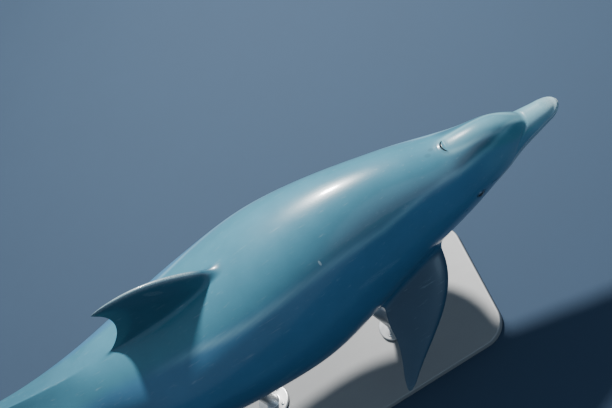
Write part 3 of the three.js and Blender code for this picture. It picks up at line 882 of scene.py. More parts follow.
def shared_group(name, inputs, outputs, build):
    """A shader node group, built once: build gets its helper and its input and output nodes."""
    group = bpy.data.node_groups.get(name)
    if group:
        return group
    group = bpy.data.node_groups.new(name, "ShaderNodeTree")
    for label, kind, default in inputs:
        socket = group.interface.new_socket(name=label, in_out="INPUT", socket_type=kind)
        if default is not None:
            socket.default_value = default
    for label, kind in outputs:
        group.interface.new_socket(name=label, in_out="OUTPUT", socket_type=kind)
    nodes = Nodes(group)
    build(nodes, group.nodes.new("NodeGroupInput").outputs, group.nodes.new("NodeGroupOutput").inputs)
    return group


def mottle_group():
    """Cloudy unevenness at a large and a small scale, and a fine grain for the Height of a bump."""
    def build(nodes, given, result):
        coordinates = nodes.add("ShaderNodeTexCoord").outputs["Object"]
        broad = nodes.noise(coordinates, given["Broad"], 3.0)
        close = nodes.noise(coordinates, given["Close"], 4.0, 0.6)
        both = nodes.math("MULTIPLY_ADD", close, 0.4, nodes.math("MULTIPLY", broad, 0.6))
        nodes.feed(result["Clouds"], both)
        grain = nodes.noise(coordinates, given["Grain"], 2.0, 0.5)
        nodes.feed(result["Grain"], grain)

    given = [(name, FLOAT, scale) for name, scale in (("Broad", 3.0), ("Close", 14.0), ("Grain", 400.0))]
    return shared_group("mottle", given, [("Clouds", FLOAT), ("Grain", FLOAT)], build)


def shade_group():
    """A colour made lighter and darker by clouds: colour times (1 + depth·(2·clouds - 1))."""
    def build(nodes, given, result):
        swing = nodes.math("MULTIPLY_ADD", given["Clouds"], 2.0, -1.0)
        amount = nodes.math("MULTIPLY_ADD", swing, given["Depth"], 1.0)
        scaled = nodes.add("ShaderNodeVectorMath", {"operation": "SCALE"}, i0=given["Color"])
        nodes.feed(scaled.inputs["Scale"], amount)
        nodes.feed(result["Color"], scaled.outputs[0])

    given = [("Color", COLOR, (0.5, 0.5, 0.5, 1.0)), ("Clouds", FLOAT, 0.5),
             ("Depth", FLOAT, 0.1)]
    return shared_group("cloud_shade", given, [("Color", COLOR)], build)


def rake_group():
    """Parallel scratches inside an ellipsoid that is turned and sized in its own axes, or the whole
    ellipsoid where Lines is 0: |cos(π·lines·across)| close to 1, faded out towards the rim."""
    def build(nodes, given, result):
        own = nodes.add("ShaderNodeMapping", {"vector_type": "TEXTURE"}, Vector=given["Place"],
                        Location=given["Middle"], Rotation=given["Turn"], Scale=given["Size"]).outputs[0]
        away = nodes.add("ShaderNodeVectorMath", {"operation": "LENGTH"}, i0=own).outputs["Value"]
        parts = nodes.add("ShaderNodeSeparateXYZ", None, i0=own).outputs
        across = nodes.math("ADD", parts[1], parts[2])
        across = nodes.math("MULTIPLY_ADD", nodes.noise(own, 1.3, 2.0), 0.5, across)
        turns = nodes.math("MULTIPLY", across, given["Lines"])
        wave = nodes.math("COSINE", nodes.math("MULTIPLY", turns, math.pi))
        line = nodes.ramp(nodes.math("ABSOLUTE", wave), 0.90, 0.985)
        broken = nodes.ramp(nodes.noise(own, 4.0, 3.0), 0.34, 0.46)
        solid = nodes.math("COMPARE", given["Lines"], 0.0, 0.1)
        line = nodes.math("MAXIMUM", nodes.math("MULTIPLY", line, broken), solid)
        nodes.feed(result["Mark"], nodes.math("MULTIPLY", line, nodes.ramp(away, 1.0, 0.7)))

    given = [("Place", VECTOR, None), ("Middle", VECTOR, None),
             ("Turn", VECTOR, None), ("Size", VECTOR, (1.0, 1.0, 1.0)),
             ("Lines", FLOAT, 4.0)]
    return shared_group("rake_marks", given, [("Mark", FLOAT)], build)


def new_material(name):
    """A node material with a Principled shader, as (material, helper, shader)."""
    material = bpy.data.materials.new(name)
    material.use_nodes = True
    nodes = Nodes(material.node_tree)
    return material, nodes, material.node_tree.nodes["Principled BSDF"]


def place_group(nodes, group, **inputs):
    return nodes.add("ShaderNodeGroup", {"node_tree": group}, **inputs).outputs


def constants(shader, **values):
    """Sets what is the same all over a surface on the shader's own sockets."""
    for name, value in values.items():
        shader.inputs[name.replace("_", " ")].default_value = value


def add_bump(nodes, shader, height, distance, strength=1.0):
    node = nodes.add("ShaderNodeBump", None, Height=height)
    node.inputs["Distance"].default_value = distance
    node.inputs["Strength"].default_value = strength
    nodes.feed(shader.inputs["Normal"], node.outputs[0])


def rgb(color):
    return (*color, 1.0)


def skin_material(colors):
    """Wet slate skin: a cape over the back, flanks set darker as painted shade, a paler belly, dark fins,
    faint scratches, and painted light on the beak's top and the cheeks and partly on the dorsal fin's front
    edge.
    """
    material, nodes, shader = new_material("dolphin_skin")
    mottle = place_group(nodes, mottle_group(), Broad=2.6, Close=17.0, Grain=240.0)
    clouds = mottle["Clouds"]
    wander = nodes.math("MULTIPLY_ADD", clouds, 1.1, -0.55)
    cape = nodes.ramp(nodes.math("ADD", nodes.attribute("cape"), wander), -0.7, 0.9)
    belly = nodes.ramp(nodes.math("ADD", nodes.attribute("belly"), wander), -0.8, 0.9)
    # below the cape's edge the flanks, set darker and bluer as painted shade
    color = nodes.mix(cape, rgb(colors.flank_and_shade), rgb(colors.cape))
    # pale strokes and the cape's pale line, with painted light on the beak's top and the cheeks
    color = nodes.mix(nodes.math("MULTIPLY", nodes.attribute("blaze_and_painted_light"), 0.55), color, rgb(colors.blaze_and_painted_light))
    color = nodes.mix(nodes.math("MULTIPLY", belly, 0.95), color, rgb(colors.belly))
    # dark fins, and the tail stock's top darkened partly as painted shade
    color = nodes.mix(nodes.attribute("fin_dark_and_shade"), color, rgb(colors.fins))
    color = nodes.mix(nodes.attribute("dark"), color, rgb(colors.creases))
    rest = nodes.attribute("rest", "Vector")
    along = nodes.add("ShaderNodeMapping", None, Vector=rest, Scale=(0.12, 1.3, 1.3))
    streaks = nodes.noise(along.outputs[0], 2.4, 5.0, 0.62)
    color = nodes.mix(nodes.ramp(streaks, 0.60, 0.74, 0.0, 0.16), color, rgb(colors.scars_and_glint))
    scuffed = nodes.ramp(nodes.noise(rest, 9.0, 4.0, 0.7), 0.42, 0.60, 0.35, 1.0)
    # worn spots on the snout, and the dorsal fin's front edge paled partly as a painted highlight
    color = nodes.mix(nodes.math("MULTIPLY", nodes.attribute("wear_and_glint"), scuffed), color, rgb(colors.scars_and_glint))
    for marks, over in ((RAKES, colors.scars_and_glint), (SPOTS, colors.creases)):
        for middle, lean, size, lines, strength in marks:
            given = {"Place": rest, "Middle": middle, "Turn": (0, lean, 0), "Size": size, "Lines": lines}
            mark = place_group(nodes, rake_group(), **given)["Mark"]
            color = nodes.mix(nodes.math("MULTIPLY", mark, strength), color, rgb(over))
    shaded = place_group(nodes, shade_group(), Color=color, Clouds=clouds, Depth=0.22)
    nodes.feed(shader.inputs["Base Color"], shaded["Color"])
    roughness = nodes.math("MULTIPLY_ADD", clouds, 0.22, 0.22)
    nodes.feed(shader.inputs["Roughness"], roughness)
    constants(shader, IOR=1.45, Coat_Roughness=0.12, Coat_Weight=0.35, Specular_IOR_Level=0.5)
    height = nodes.math("MULTIPLY_ADD", streaks, 0.8, mottle["Grain"])
    add_bump(nodes, shader, height, 0.0004, 0.35)
    return material


def eye_material(colors):
    """A dark wet eye: a brown iris round a pupil that is wider than high."""
    material, nodes, shader = new_material("dolphin_eye")
    away = nodes.attribute("iris")
    mottle = place_group(nodes, mottle_group(), Broad=160.0, Close=700.0, Grain=900.0)
    edge = nodes.math("ADD", away, nodes.math("MULTIPLY_ADD", mottle["Clouds"], 0.16, -0.08))
    color = nodes.mix(nodes.ramp(edge, 0.50, 0.62), rgb(colors.pupil), rgb(colors.iris))
    color = nodes.mix(nodes.ramp(edge, 1.18, 1.45), color, rgb(colors.white))
    shaded = place_group(nodes, shade_group(), Color=color, Clouds=mottle["Clouds"], Depth=0.3)
    nodes.feed(shader.inputs["Base Color"], shaded["Color"])
    nodes.feed(shader.inputs["Roughness"], nodes.math("MULTIPLY_ADD", mottle["Clouds"], 0.08, 0.04))
    constants(shader, IOR=1.38, Coat_Weight=1.0, Coat_Roughness=0.03)
    return material


def lacquer_material(name, color, rough, gloss=0.5):
    """A sprayed lacquer: a nearly even colour with the faintest orange peel."""
    material, nodes, shader = new_material(name)
    mottle = place_group(nodes, mottle_group(), Broad=3.0, Close=22.0, Grain=520.0)
    shaded = place_group(nodes, shade_group(), Color=rgb(color), Clouds=mottle["Clouds"], Depth=0.07)
    nodes.feed(shader.inputs["Base Color"], shaded["Color"])
    nodes.feed(shader.inputs["Roughness"], nodes.math("MULTIPLY_ADD", mottle["Clouds"], 0.16, rough))
    constants(shader, Specular_IOR_Level=gloss)
    add_bump(nodes, shader, mottle["Grain"], 0.0003, 0.35)
    return material


def steel_material(color):
    """Satin steel, brushed round the rod: noise squeezed along the height gives fine rings."""
    material, nodes, shader = new_material("satin_steel")
    mottle = place_group(nodes, mottle_group(), Broad=9.0, Close=60.0, Grain=300.0)
    coordinates = nodes.add("ShaderNodeTexCoord").outputs["Object"]
    squeezed = nodes.add("ShaderNodeMapping", None, Vector=coordinates, Scale=(6, 6, 420)).outputs[0]
    brushed = nodes.noise(squeezed, 3.0, 3.0, 0.6)
    shaded = place_group(nodes, shade_group(), Color=rgb(color), Clouds=brushed, Depth=0.16)
    nodes.feed(shader.inputs["Base Color"], shaded["Color"])
    rough = nodes.math("MULTIPLY_ADD", mottle["Clouds"], 0.08, 0.24)
    nodes.feed(shader.inputs["Roughness"], nodes.math("MULTIPLY_ADD", brushed, 0.14, rough))
    constants(shader, Metallic=1.0)
    add_bump(nodes, shader, brushed, 0.0002, 0.4)
    return material


# ---------------------------------------------------------------- markings
# Pale rake marks, then dark spots, on the straight animal: middle [station, side, level], lean, half
# sizes, number of lines (0 is one whole patch) and strength.
RAKES = (
    ((27.0, -7.2, 1.4), -0.22, (3.4, 5.0, 0.5), 4.0, 0.28),
    ((44.0, -8.6, -2.4), 0.16, (3.4, 5.0, 0.6), 5.0, 0.45),
    ((52.0, 7.0, 4.2), 0.2, (3.2, 5.0, 0.55), 5.0, 0.5),
    ((79.0, -2.4, 2.6), -0.1, (2.6, 3.0, 0.45), 4.0, 0.5),
    ((49.0, 0.0, 13.2), -0.7, (1.4, 4.0, 0.4), 4.0, 0.35),
    ((31.1, -5.94, 7.52), 0.0, (0.15, 0.7, 0.3), 0.0, 0.8),
)
SPOTS = (
    ((14.0, 0.3, 5.19), 0.0, (0.34, 0.26, 1.0), 0.0, 0.22),
    ((14.6, -0.3, 5.5), 0.0, (0.42, 0.3, 1.0), 0.0, 0.16),
    *(((EAR[0], side, EAR[1]), 0.0, (0.065, 2.5, 0.065), 0.0, 0.75) for side in (5.0, -5.0)),
)
# Lower edge of the cape, the two pale strokes that fan out from the beak over the melon, one past
# the eye and one to the blowhole, and the upper edge of the pale belly: station and angle on the
# left side. Between the strokes lies a dark wedge round its own angle.
CAPE_EDGE = np.array([
    [0, 20], [6, 30], [9.7, 47], [12.3, 48], [14.4, 50], [17.5, 46], [20.5, 41], [23.4, 38], [27.5, 40],
    [30.6, 42], [34.3, 44], [41.5, 47], [45.8, 50], [49.3, 54], [55, 57], [62, 56], [70, 46], [80, 24],
    [90, 6], [100, 0],
], float)
BRIDLE = np.array([[4.6, 78], [6.3, 60], [8.6, 48], [11.1, 45], [14.4, 48], [18, 45]], float)
SPRAY = np.array([[4.1, 85], [6.6, 64], [8.6, 66], [10.4, 70], [12, 75], [13, 78]], float)
# The cheeks are made paler as painted light, round their own angle.
WEDGE_ANGLE, LIT_CHEEK_ANGLE = 57, 14
LINE_UNDER = 1.5  # how far under the cape's edge its pale line runs, in degrees
# How wide each mark is to each side in degrees, and the span of stations where it shows.
MARKS = {
    "line": (2.6, 9.5, 3, 58, 10), "melon": (24, 3.6, 2, 15, 6), "bridle": (5, 3.8, 1.5, 17, 4),
    "spray": (4.5, 3.8, 1.5, 13.6, 1.6), "wedge": (8, 6.4, 2.5, 13.6, 1.8), "lit_cheek": (30, 3.5, 2, 13.5, 6),
}
BELLY_EDGE = np.array([
    [0, -12], [6, -10], [10, -14], [13, -30], [17, -42], [20, -50], [25, -50], [30, -38], [36, -33],
    [43.5, -38], [55, -48], [65, -60], [74, -74], [82, -92], [100, -100],
], float)


def worn_and_glint_edge(data):
    """How near each point is to the front edge of the dorsal fin, from 0 to 1: a pale edge that is partly wear
    and partly a painted highlight.
    """
    place = data["place"]
    near = (data["fin"] > FIN_ROOT) & (place[:, 2] > 6) & (np.abs(place[:, 1]) < 1.3)
    edge = bezier(DORSAL["front"], np.linspace(0, 1, 200))
    away = UNIT * np.linalg.norm(place[near][:, None, ::2] - edge, axis=-1).min(1)
    result = np.zeros(len(place))
    result[near] = bump(away, 9.0) * smooth((data["fin"][near] - FIN_ROOT) / 0.1)
    return result


def markings(data):
    """What the skin's material reads: signed distances from the edges of the cape and the belly, the
    strength of pale strokes and of painted light on the beak's top and the cheeks, dark fins with the
    tail stock's top darkened partly as painted shade, folds, worn spots with the dorsal fin's front edge
    paled partly as a painted highlight, and the straight animal's places."""
    place, fin = data["place"], data["fin"]
    station = place[:, 0]
    folded = np.degrees(np.arcsin(np.sin(data["angle"])))

    def follow(line):
        return np.interp(station, line[:, 0], line[:, 1])

    def mark(name, middle):
        width, *span = MARKS[name]
        return bump(folded - middle, width) * between(station, *span)

    body = 1 - smooth(fin / 0.16)
    cape = (folded - follow(CAPE_EDGE)) / 9
    belly = (follow(BELLY_EDGE) - folded) / 14
    # painted light: the upper part of the beak is made pale, as if lit from above
    lit_beak = smooth((5.4 - station) / 2.0) * smooth((folded + 12) / 14)
    stroke = np.maximum(mark("bridle", follow(BRIDLE)), mark("spray", follow(SPRAY)))
    wedge = mark("wedge", WEDGE_ANGLE)
    blaze_and_painted_light = 0.7 * mark("line", follow(CAPE_EDGE) - LINE_UNDER) + 0.5 * mark("melon", 90) + 0.8 * stroke
    # painted light: the cheeks low on the head are made paler
    blaze_and_painted_light = blaze_and_painted_light + 0.75 * lit_beak + 0.4 * mark("lit_cheek", LIT_CHEEK_ANGLE) - 0.7 * wedge
    wear_and_glint = 0.75 * bump(station, 1.1) + 0.25 * bump(station, 2.6) * smooth((folded + 5) / 10)
    # the dorsal fin's pale front edge is partly wear and partly a painted highlight
    wear_and_glint = np.clip(wear_and_glint + 0.55 * worn_and_glint_edge(data), 0, 1)
    lips = bump(over_mouth(place), 2.2) * smooth((MOUTH[-1, 0] + 0.4 - station) / 0.7) * (fin <= 0)
    lids = bump(np.maximum(data["lid"], 0), 5.0)
    slit = bump(np.maximum(data["nostril"] + 0.6, 0), 1.6)
    dark = np.clip(0.75 * lips + 0.72 * lids + 0.95 * slit, 0, 1)
    fins = smooth(fin / (1.1 * FIN_ROOT)) * np.where((place[:, 2] > 4) & (fin > 0), 0.62, 0.9)
    # the tail stock's top darkened: partly its own darker colour, partly painted shade where the light falls
    # off towards the tail
    dark_stock_and_shade = smooth((station - 58) / 14) * smooth((folded + 30) / 40)
    fins = np.maximum(fins, np.maximum(0.45 * wedge, 0.36 * dark_stock_and_shade))
    return {"cape": cape, "belly": np.where(body > 0.5, belly, belly - 1), "dark": dark,
            "blaze_and_painted_light": np.clip(blaze_and_painted_light, 0, 1) * body, "fin_dark_and_shade": fins, "wear_and_glint": wear_and_glint, "rest": place}


# ---------------------------------------------------------------- settings
def colour(name, description, default):
    return bpy.props.FloatVectorProperty(
        name=name, description=description, subtype="COLOR", size=3, min=0, max=1, default=default)


def amount(name, description, default, **limits):
    return bpy.props.FloatProperty(name=name, description=description, default=default, **limits)


class DolphinSkinSettings(bpy.types.PropertyGroup):
    """The skin's mesh and colours."""

    fineness: amount("Fineness", "How closely the skin's grid is drawn", 0.95, min=0.3, max=1.1)
    cape: colour("Cape", "Back, from the melon to the flukes", (0.038, 0.138, 0.192))
    # the sides' own colour, set darker and bluer than the cape as painted shade
    flank_and_shade: colour("Flank", "Sides", (0.036, 0.120, 0.210))
    belly: colour("Belly", "Throat, chest and belly", (0.400, 0.455, 0.470))
    # also the colour of the painted light on the beak's top and the cheeks
    blaze_and_painted_light: colour("Blaze", "Light strokes over the melon and along the cape's edge", (0.200, 0.375, 0.420))
    fins: colour("Fins", "Dorsal fin, flippers and flukes", (0.011, 0.036, 0.064))
    creases: colour("Creases", "Lips, eyelids and blowhole", (0.010, 0.017, 0.024))
    # pale scars, also the colour of the painted highlight along the dorsal fin's front edge
    scars_and_glint: colour("Scars", "Healed scratches", (0.330, 0.420, 0.440))


class DolphinEyeSettings(bpy.types.PropertyGroup):
    """The eyes' colours."""

    iris: colour("Iris", "Ring round the pupil", (0.014, 0.008, 0.005))
    pupil: colour("Pupil", "Middle of the eye", (0.004, 0.005, 0.008))
    white: colour("White", "Rim of the eyeball", (0.060, 0.048, 0.042))


class DolphinStandSettings(bpy.types.PropertyGroup):
    """The display stand's finishes."""

    base: colour("Base", "Lacquer of the base", (0.180, 0.185, 0.190))
    base_roughness: amount("Base roughness", "How matt the base is", 0.38, min=0, max=0.8)
    steel: colour("Steel", "Rods and foot plates", (0.56, 0.57, 0.58))
    rubber: colour("Rubber", "Collars under the belly", (0.035, 0.036, 0.038))


class DolphinStageSettings(bpy.types.PropertyGroup):
    """Floor, lights and camera."""

    floor: colour("Floor", "Floor under the stand", (0.030, 0.050, 0.082))
    key_power: amount("Key light", "Lamp high on the left", 960.0, min=0, unit="POWER")
    fill_power: amount("Fill light", "Large soft light from behind the camera", 60.0, min=0, unit="POWER")
    sky: amount("Sky", "Strength of the even light from all round", 0.42, min=0)
    azimuth: amount("Azimuth", "Camera's turn round the model", math.radians(20.4991), unit="ROTATION")
    elevation: amount("Elevation", "Camera's height angle", math.radians(50.8463), unit="ROTATION")
    roll: amount("Roll", "Camera's turn round its own axis", math.radians(-50.3573), unit="ROTATION")
    distance: amount("Distance", "Camera to the point it looks at", 4.3496, unit="LENGTH")
    aim: bpy.props.FloatVectorProperty(
        name="Aim", description="The point the camera looks at", default=(0.3283, 0.2098, 0.64), subtype="XYZ")
    lens: amount("Lens", "Focal length on a 36 mm sensor", 77.278, min=20)


# ---------------------------------------------------------------- pieces
FLESH = (
    "upper_jaw", "lower_jaw", "head", "blowhole", "neck", "chest", "belly", "loin", "tail_stock_front",
    "tail_stock_rear", "tail_end", "dorsal_fin", "flipper_left", "flipper_right", "fluke_left", "fluke_right",
)


class DOLPHIN_OT_add_skin(bpy.types.Operator):
    """Adds the skin, one closed surface from the snout to the flukes"""

    bl_idname = "dolphin.add_skin"
    bl_label = "Add skin"

    def execute(self, context):
        settings = context.scene.dolphin_skin
        data, faces = skin_surface(settings.fineness)
        data, faces = tidy_points(data, faces)
        points = data["place"] * [-UNIT, UNIT, UNIT]
        normals = point_normals(points, faces)
        rise = relief(data, points, normals)
        raised = data["place"] + rise[:, None] * normals / [-UNIT, UNIT, UNIT]
        skin = mesh_object("skin", posed(raised), faces, markings(data))
        dressed(skin, skin_material(settings), "skin", *FLESH)
        return {"FINISHED"}


def eyeball(sign, rows=36, columns=48):
    """A sphere about the eyeball's middle, with its poles towards the opening and away from it, and
    each point's angle from the gaze as a share of the iris (the pupil is wider than high)."""
    middle = eye_middle() * [1, sign, 1]
    station, angle = eye_foot()
    along, around = tangents(station, angle)
    gaze = np.cross(along * [-1, 1, 1], around * [-1, 1, 1])
    gaze = gaze / np.linalg.norm(gaze)
    gaze = gaze * np.sign(gaze[1]) * [1, sign, 1]
    tailwards = np.cross([0, 0, 1.0], gaze) * -sign
    tailwards = tailwards / np.linalg.norm(tailwards)
    up = np.cross(gaze, tailwards)
    polar = np.linspace(0, math.pi, rows + 1)[1:-1, None]
    turn = np.linspace(0, 2 * math.pi, columns, endpoint=False)
    ring = np.sin(polar)[..., None] * (np.cos(turn)[:, None] * tailwards + np.sin(turn)[:, None] * up)
    ball = np.cos(polar)[..., None] * gaze + ring
    ball = np.concatenate([ball.reshape(-1, 3), [gaze], [-gaze]])
    flat, high = ball @ tailwards, ball @ up
    iris = np.hypot(flat / EYE["iris"][0], high / EYE["iris"][1])
    iris = np.where(ball @ gaze > 0, iris, 2.0)
    place = middle + EYE["radius"] * ball * [-1, 1, 1] / UNIT
    count = (rows - 1) * columns
    first = np.arange(columns)
    ends = cap(first[::-1], count), cap(first + count - columns, count + 1)
    return posed(place), np.concatenate([grid_faces(rows - 1, columns), *ends]), iris


def outward(points, faces):
    """The faces, turned over if their closed surface has a negative volume."""
    a, b, c, d = (points[faces[:, k]] for k in range(4))
    volume = np.sum(a * np.cross(b, c)) + np.sum(a * np.cross(c, d))
    return faces if volume > 0 else np.where(
        (faces[:, 2] == faces[:, 3])[:, None], faces[:, [1, 0, 2, 2]], faces[:, ::-1])


class DOLPHIN_OT_add_eyes(bpy.types.Operator):
    """Adds the two eyeballs behind the lids"""

    bl_idname = "dolphin.add_eyes"
    bl_label = "Add eyes"

    def execute(self, context):
        material = eye_material(context.scene.dolphin_eye)
        for name, sign in (("eye_left", 1), ("eye_right", -1)):
            points, faces, iris = eyeball(sign)
            ball = mesh_object(f"{name}_ball", points, outward(points, faces), {"iris": iris})
            dressed(ball, material, "eye", name)
        return {"FINISHED"}


# The stand, in millimetres: the base's slab and the rods with their foot plates.
BASE = {"length": 1240, "width": 520, "thick": 26, "corner": 90, "edge": 4, "steps": 16,
        "insets": (89, 30, 8)}
ROD = {"radius": 24, "foot": 62, "foot_high": 14, "edge": 3, "neck": 5, "short": 8, "pole": 0.2,
       "sides": 72}
SCREW = {"circle": 45, "radius": 6.2, "dome": 2.6, "socket": ((2.6, 3.1), (2.5, 1.4), (0.1, 1.3)),
         "sides": 24}
COLLAR = {"gap": 0.3, "wide": 15.0, "high": 12.0, "seat": 0.55}
RODS = ("stand_rod_front", "stand_rod_rear")


def base_slab():
    """A rounded oblong carried through rows of (inset, height): up its rounded edge and across the
    top and the underside to the middle line."""
    edge, thick, radius = BASE["edge"], BASE["thick"], BASE["corner"]
    quarter = np.linspace(0, math.pi / 2, BASE["steps"] + 1)
    turn = (quarter + math.pi / 2 * np.arange(4)[:, None]).ravel()
    normal = np.stack([np.cos(turn), np.sin(turn)], -1)
    signs = np.repeat([[1, 1], [-1, 1], [-1, -1], [1, -1]], len(quarter), axis=0)
    middle = signs * [BASE["length"] / 2 - radius, BASE["width"] / 2 - radius]
    arc = np.linspace(0, math.pi / 2, 6)
    out, up = edge * (1 - np.sin(arc)), edge * (1 - np.cos(arc))
    flat = np.array(BASE["insets"])
    inset = np.concatenate([flat, out, up, flat[::-1]])
    height = np.concatenate([0 * flat, up, thick - out, 0 * flat + thick])
    rows = middle + normal * (radius - inset[:, None, None])
    points = np.concatenate([rows, np.broadcast_to(height[:, None, None], rows.shape[:2] + (1,))], -1)
    points = np.concatenate([points.reshape(-1, 3), [[0, 0, 0], [0, 0, thick]]])
    first, count = np.arange(len(turn)), len(inset) * len(turn)
    ends = cap(first[::-1], count), cap(first + count - len(turn), count + 1)
    return points / 1000, np.concatenate([grid_faces(len(inset), len(turn)), *ends])


def rod_middle(name):
    low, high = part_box(name)
    return (low.x + high.x) / 2 * 1000, (low.y + high.y) / 2 * 1000, high.z * 1000


def rod_surface(name):
    """The rod and its foot plate as one turned profile, then four screws on the plate."""
    x, y, top = rod_middle(name)
    radius, foot, edge, neck, pole = (ROD[key] for key in ("radius", "foot", "edge", "neck", "pole"))
    base, plate, end = BASE["thick"], BASE["thick"] + ROD["foot_high"], top - ROD["short"]
    arc = np.linspace(0, math.pi / 2, 5)
    rim = np.stack([foot - edge + edge * np.cos(arc), plate - edge + edge * np.sin(arc)], -1)
    throat = np.stack([radius + neck * (1 - np.sin(arc)), plate + neck * (1 - np.cos(arc))], -1)
    shaft = [[radius, plate + 12], [radius, end], [pole, end]]
    profile = np.concatenate([[[pole, base], [foot, base]], rim, throat, shaft])
    parts = [turned_profile(profile, (x, y), ROD["sides"])]
    dome = np.linspace(0, math.pi / 2, 6)[:-1]
    head = np.stack([SCREW["radius"] * np.cos(dome), 0.6 + SCREW["dome"] * np.sin(dome)], -1)
    head = np.concatenate([[[SCREW["radius"], -1]], head, SCREW["socket"]]) + [0, plate]
    for turn in math.pi / 4 + math.pi / 2 * np.arange(4):
        at = x + SCREW["circle"] * math.cos(turn), y + SCREW["circle"] * math.sin(turn)
        parts.append(turned_profile(head, at, SCREW["sides"]))
    points, faces = joined(parts)
    return points / 1000, faces


def collar_surface(name):
    """A soft ring round the rod where it meets the belly: a half-round profile turned about the
    rod, then each point lowered by the belly's rise over the rod, so that it seats on the skin."""
    x, y, _ = rod_middle(name)
    radius, wide, high = ROD["radius"] + COLLAR["gap"], COLLAR["wide"], COLLAR["high"]
    arc = np.linspace(-math.pi / 2, math.pi / 2, 11)
    outer = np.stack([radius + wide * np.cos(arc), high * np.sin(arc)], -1)
    profile = np.concatenate([outer, [[radius, high], [radius, -high]]])
    points, faces = turned_profile(profile, (x, y), ROD["sides"])
    lift = belly_height(points[:, 0], points[:, 1]) * 1000
    points[:, 2] += lift - high * COLLAR["seat"]
    count, sides = len(profile), ROD["sides"]
    here, ahead = np.arange(sides) + (count - 1) * sides, np.arange(sides)
    shut = np.stack([here, np.roll(here, -1), np.roll(ahead, -1), ahead], -1)
    return points / 1000, np.concatenate([faces, shut])


def belly_height(x, y):
    """The belly's height over the floor at points given in millimetres: the skin is sampled under
    the spine on a fine patch and each point takes the heights of its four nearest samples, weighted by one
    over their distance."""
    stations, angles = np.arange(24, 66, 0.25), np.radians(np.arange(-110, -69, 1.0))
    station, angle = np.meshgrid(stations, angles, indexing="ij")
    skin = posed(skin_point(station, angle)).reshape(-1, 3) * 1000
    near = np.argsort((skin[:, 0, None] - x) ** 2 + (skin[:, 1, None] - y) ** 2, axis=0)[:4]
    away = np.sqrt((skin[near, 0] - x) ** 2 + (skin[near, 1] - y) ** 2) + 0.5
    return np.sum(skin[near, 2] / away, 0) / np.sum(1 / away, 0) / 1000


class DOLPHIN_OT_add_stand(bpy.types.Operator):
    """Adds the base, its two rods and the collars under the belly"""

    bl_idname = "dolphin.add_stand"
    bl_label = "Add stand"

    def execute(self, context):
        settings = context.scene.dolphin_stand
        slab = mesh_object("stand_base_slab", *base_slab())
        lacquer = lacquer_material("satin_lacquer", settings.base, settings.base_roughness)
        dressed(slab, lacquer, "stand_base", "stand_base")
        steel = steel_material(settings.steel)
        rubber = lacquer_material("soft_rubber", settings.rubber, 0.55)
        for name in RODS:
            rod = mesh_object(f"{name}_turned", *rod_surface(name))
            dressed(rod, steel, "stand_rod", name)
            collar = mesh_object(f"{name}_collar", *collar_surface(name))
            collar.data.materials.append(rubber)
            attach(collar, BODY)
        return {"FINISHED"}


# ---------------------------------------------------------------- stage
FLOOR = {"half": 20.0, "steps": 8, "drop": 0.0005}  # metres


def floor_surface():
    """A flat square of quads, a hair under the stand."""
    across = np.linspace(-FLOOR["half"], FLOOR["half"], FLOOR["steps"] + 1)
    x, y = np.meshgrid(across, across, indexing="ij")
    numbers = np.arange(x.size).reshape(x.shape)
    corners = numbers[:-1, :-1], numbers[1:, :-1], numbers[1:, 1:], numbers[:-1, 1:]
    points = np.stack([x.ravel(), y.ravel(), np.full(x.size, -FLOOR["drop"])], -1)
    return points, np.stack([np.ravel(n) for n in corners], -1)


def area_light(name, power, size, location, aim, color):
    data = bpy.data.lights.new(name, "AREA")
    data.shape, data.size, data.energy, data.color = "DISK", size, power, color
    light = bpy.data.objects.new(name, data)
    light.location = location
    light.rotation_euler = (Vector(aim) - Vector(location)).to_track_quat("-Z", "Y").to_euler()
    bpy.context.scene.collection.objects.link(light)


def camera_matrix(stage):
    """Looks at the aim point from its azimuth and elevation, then turns round its own axis."""
    a, e, r = stage.azimuth, stage.elevation, stage.roll
    back = np.array([math.sin(a) * math.cos(e), -math.cos(a) * math.cos(e), math.sin(e)])
    level = np.array([math.cos(a), math.sin(a), 0])
    upright = np.cross(back, level)
    right, up = math.cos(r) * level + math.sin(r) * upright, math.cos(r) * upright - math.sin(r) * level
    place = np.array(stage.aim) + stage.distance * back
    return Matrix([[*row] for row in np.vstack([np.stack([right, up, back, place], -1), [0, 0, 0, 1]])])


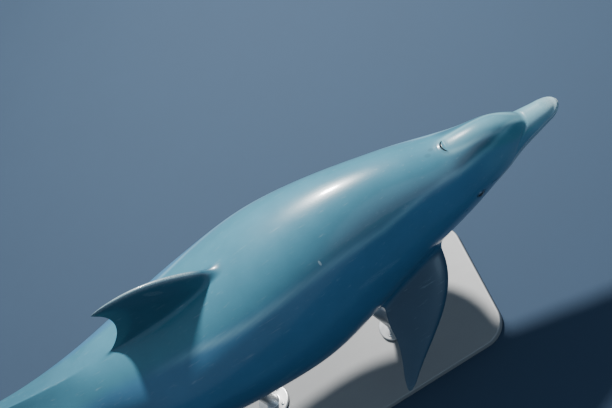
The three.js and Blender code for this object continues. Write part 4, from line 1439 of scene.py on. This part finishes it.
class DOLPHIN_OT_add_stage(bpy.types.Operator):
    """Adds the floor, the lights and the camera"""

    bl_idname = "dolphin.add_stage"
    bl_label = "Add stage"

    def execute(self, context):
        stage = context.scene.dolphin_stage
        floor = mesh_object("floor", *floor_surface())
        floor.data.materials.append(lacquer_material("matt_floor", stage.floor, 0.8, 0.15))
        area_light("key_light", stage.key_power, 0.55, (0.87, 3.05, 4.6), (0, 0, 0.7), (1.0, 0.98, 0.94))
        area_light("fill_light", stage.fill_power, 4.0, (2.6, -3.6, 3.4), (0, 0, 0.6), (0.55, 0.78, 1.0))
        world = bpy.data.worlds.new("studio")
        world.use_nodes = True
        world.node_tree.nodes["Background"].inputs["Color"].default_value = (0.62, 0.80, 1.0, 1.0)
        world.node_tree.nodes["Background"].inputs["Strength"].default_value = stage.sky
        context.scene.world = world
        lens = bpy.data.cameras.new("camera")
        lens.lens, lens.sensor_width, lens.sensor_fit = stage.lens, 36.0, "HORIZONTAL"
        camera = bpy.data.objects.new("camera", lens)
        camera.matrix_world = camera_matrix(stage)
        context.scene.collection.objects.link(camera)
        context.scene.camera = camera
        return {"FINISHED"}


# ---------------------------------------------------------------- the add-on
SETTINGS = {
    "dolphin_skin": DolphinSkinSettings, "dolphin_eye": DolphinEyeSettings,
    "dolphin_stand": DolphinStandSettings, "dolphin_stage": DolphinStageSettings,
}
OPERATORS = (DOLPHIN_OT_add_skin, DOLPHIN_OT_add_eyes, DOLPHIN_OT_add_stand, DOLPHIN_OT_add_stage)


class DOLPHIN_PT_panel(bpy.types.Panel):
    """The pieces and their settings, in the 3D view's sidebar"""

    bl_label = "Dolphin"
    bl_idname = "DOLPHIN_PT_panel"
    bl_space_type = "VIEW_3D"
    bl_region_type = "UI"
    bl_category = "Dolphin"

    def draw(self, context):
        for operator, (name, group) in zip(OPERATORS, SETTINGS.items()):
            box = self.layout.box()
            for setting in group.__annotations__:
                box.prop(getattr(context.scene, name), setting)
            box.operator(operator.bl_idname)


CLASSES = (*SETTINGS.values(), *OPERATORS, DOLPHIN_PT_panel)


def register():
    for item in CLASSES:
        bpy.utils.register_class(item)
    for name, group in SETTINGS.items():
        setattr(bpy.types.Scene, name, bpy.props.PointerProperty(type=group))


def unregister():
    for name in SETTINGS:
        delattr(bpy.types.Scene, name)
    for item in reversed(CLASSES):
        bpy.utils.unregister_class(item)


def main():
    register()
    bpy.ops.dolphin.add_skin()
    bpy.ops.dolphin.add_eyes()
    bpy.ops.dolphin.add_stand()
    bpy.ops.dolphin.add_stage()


if __name__ == "__main__":
    main()
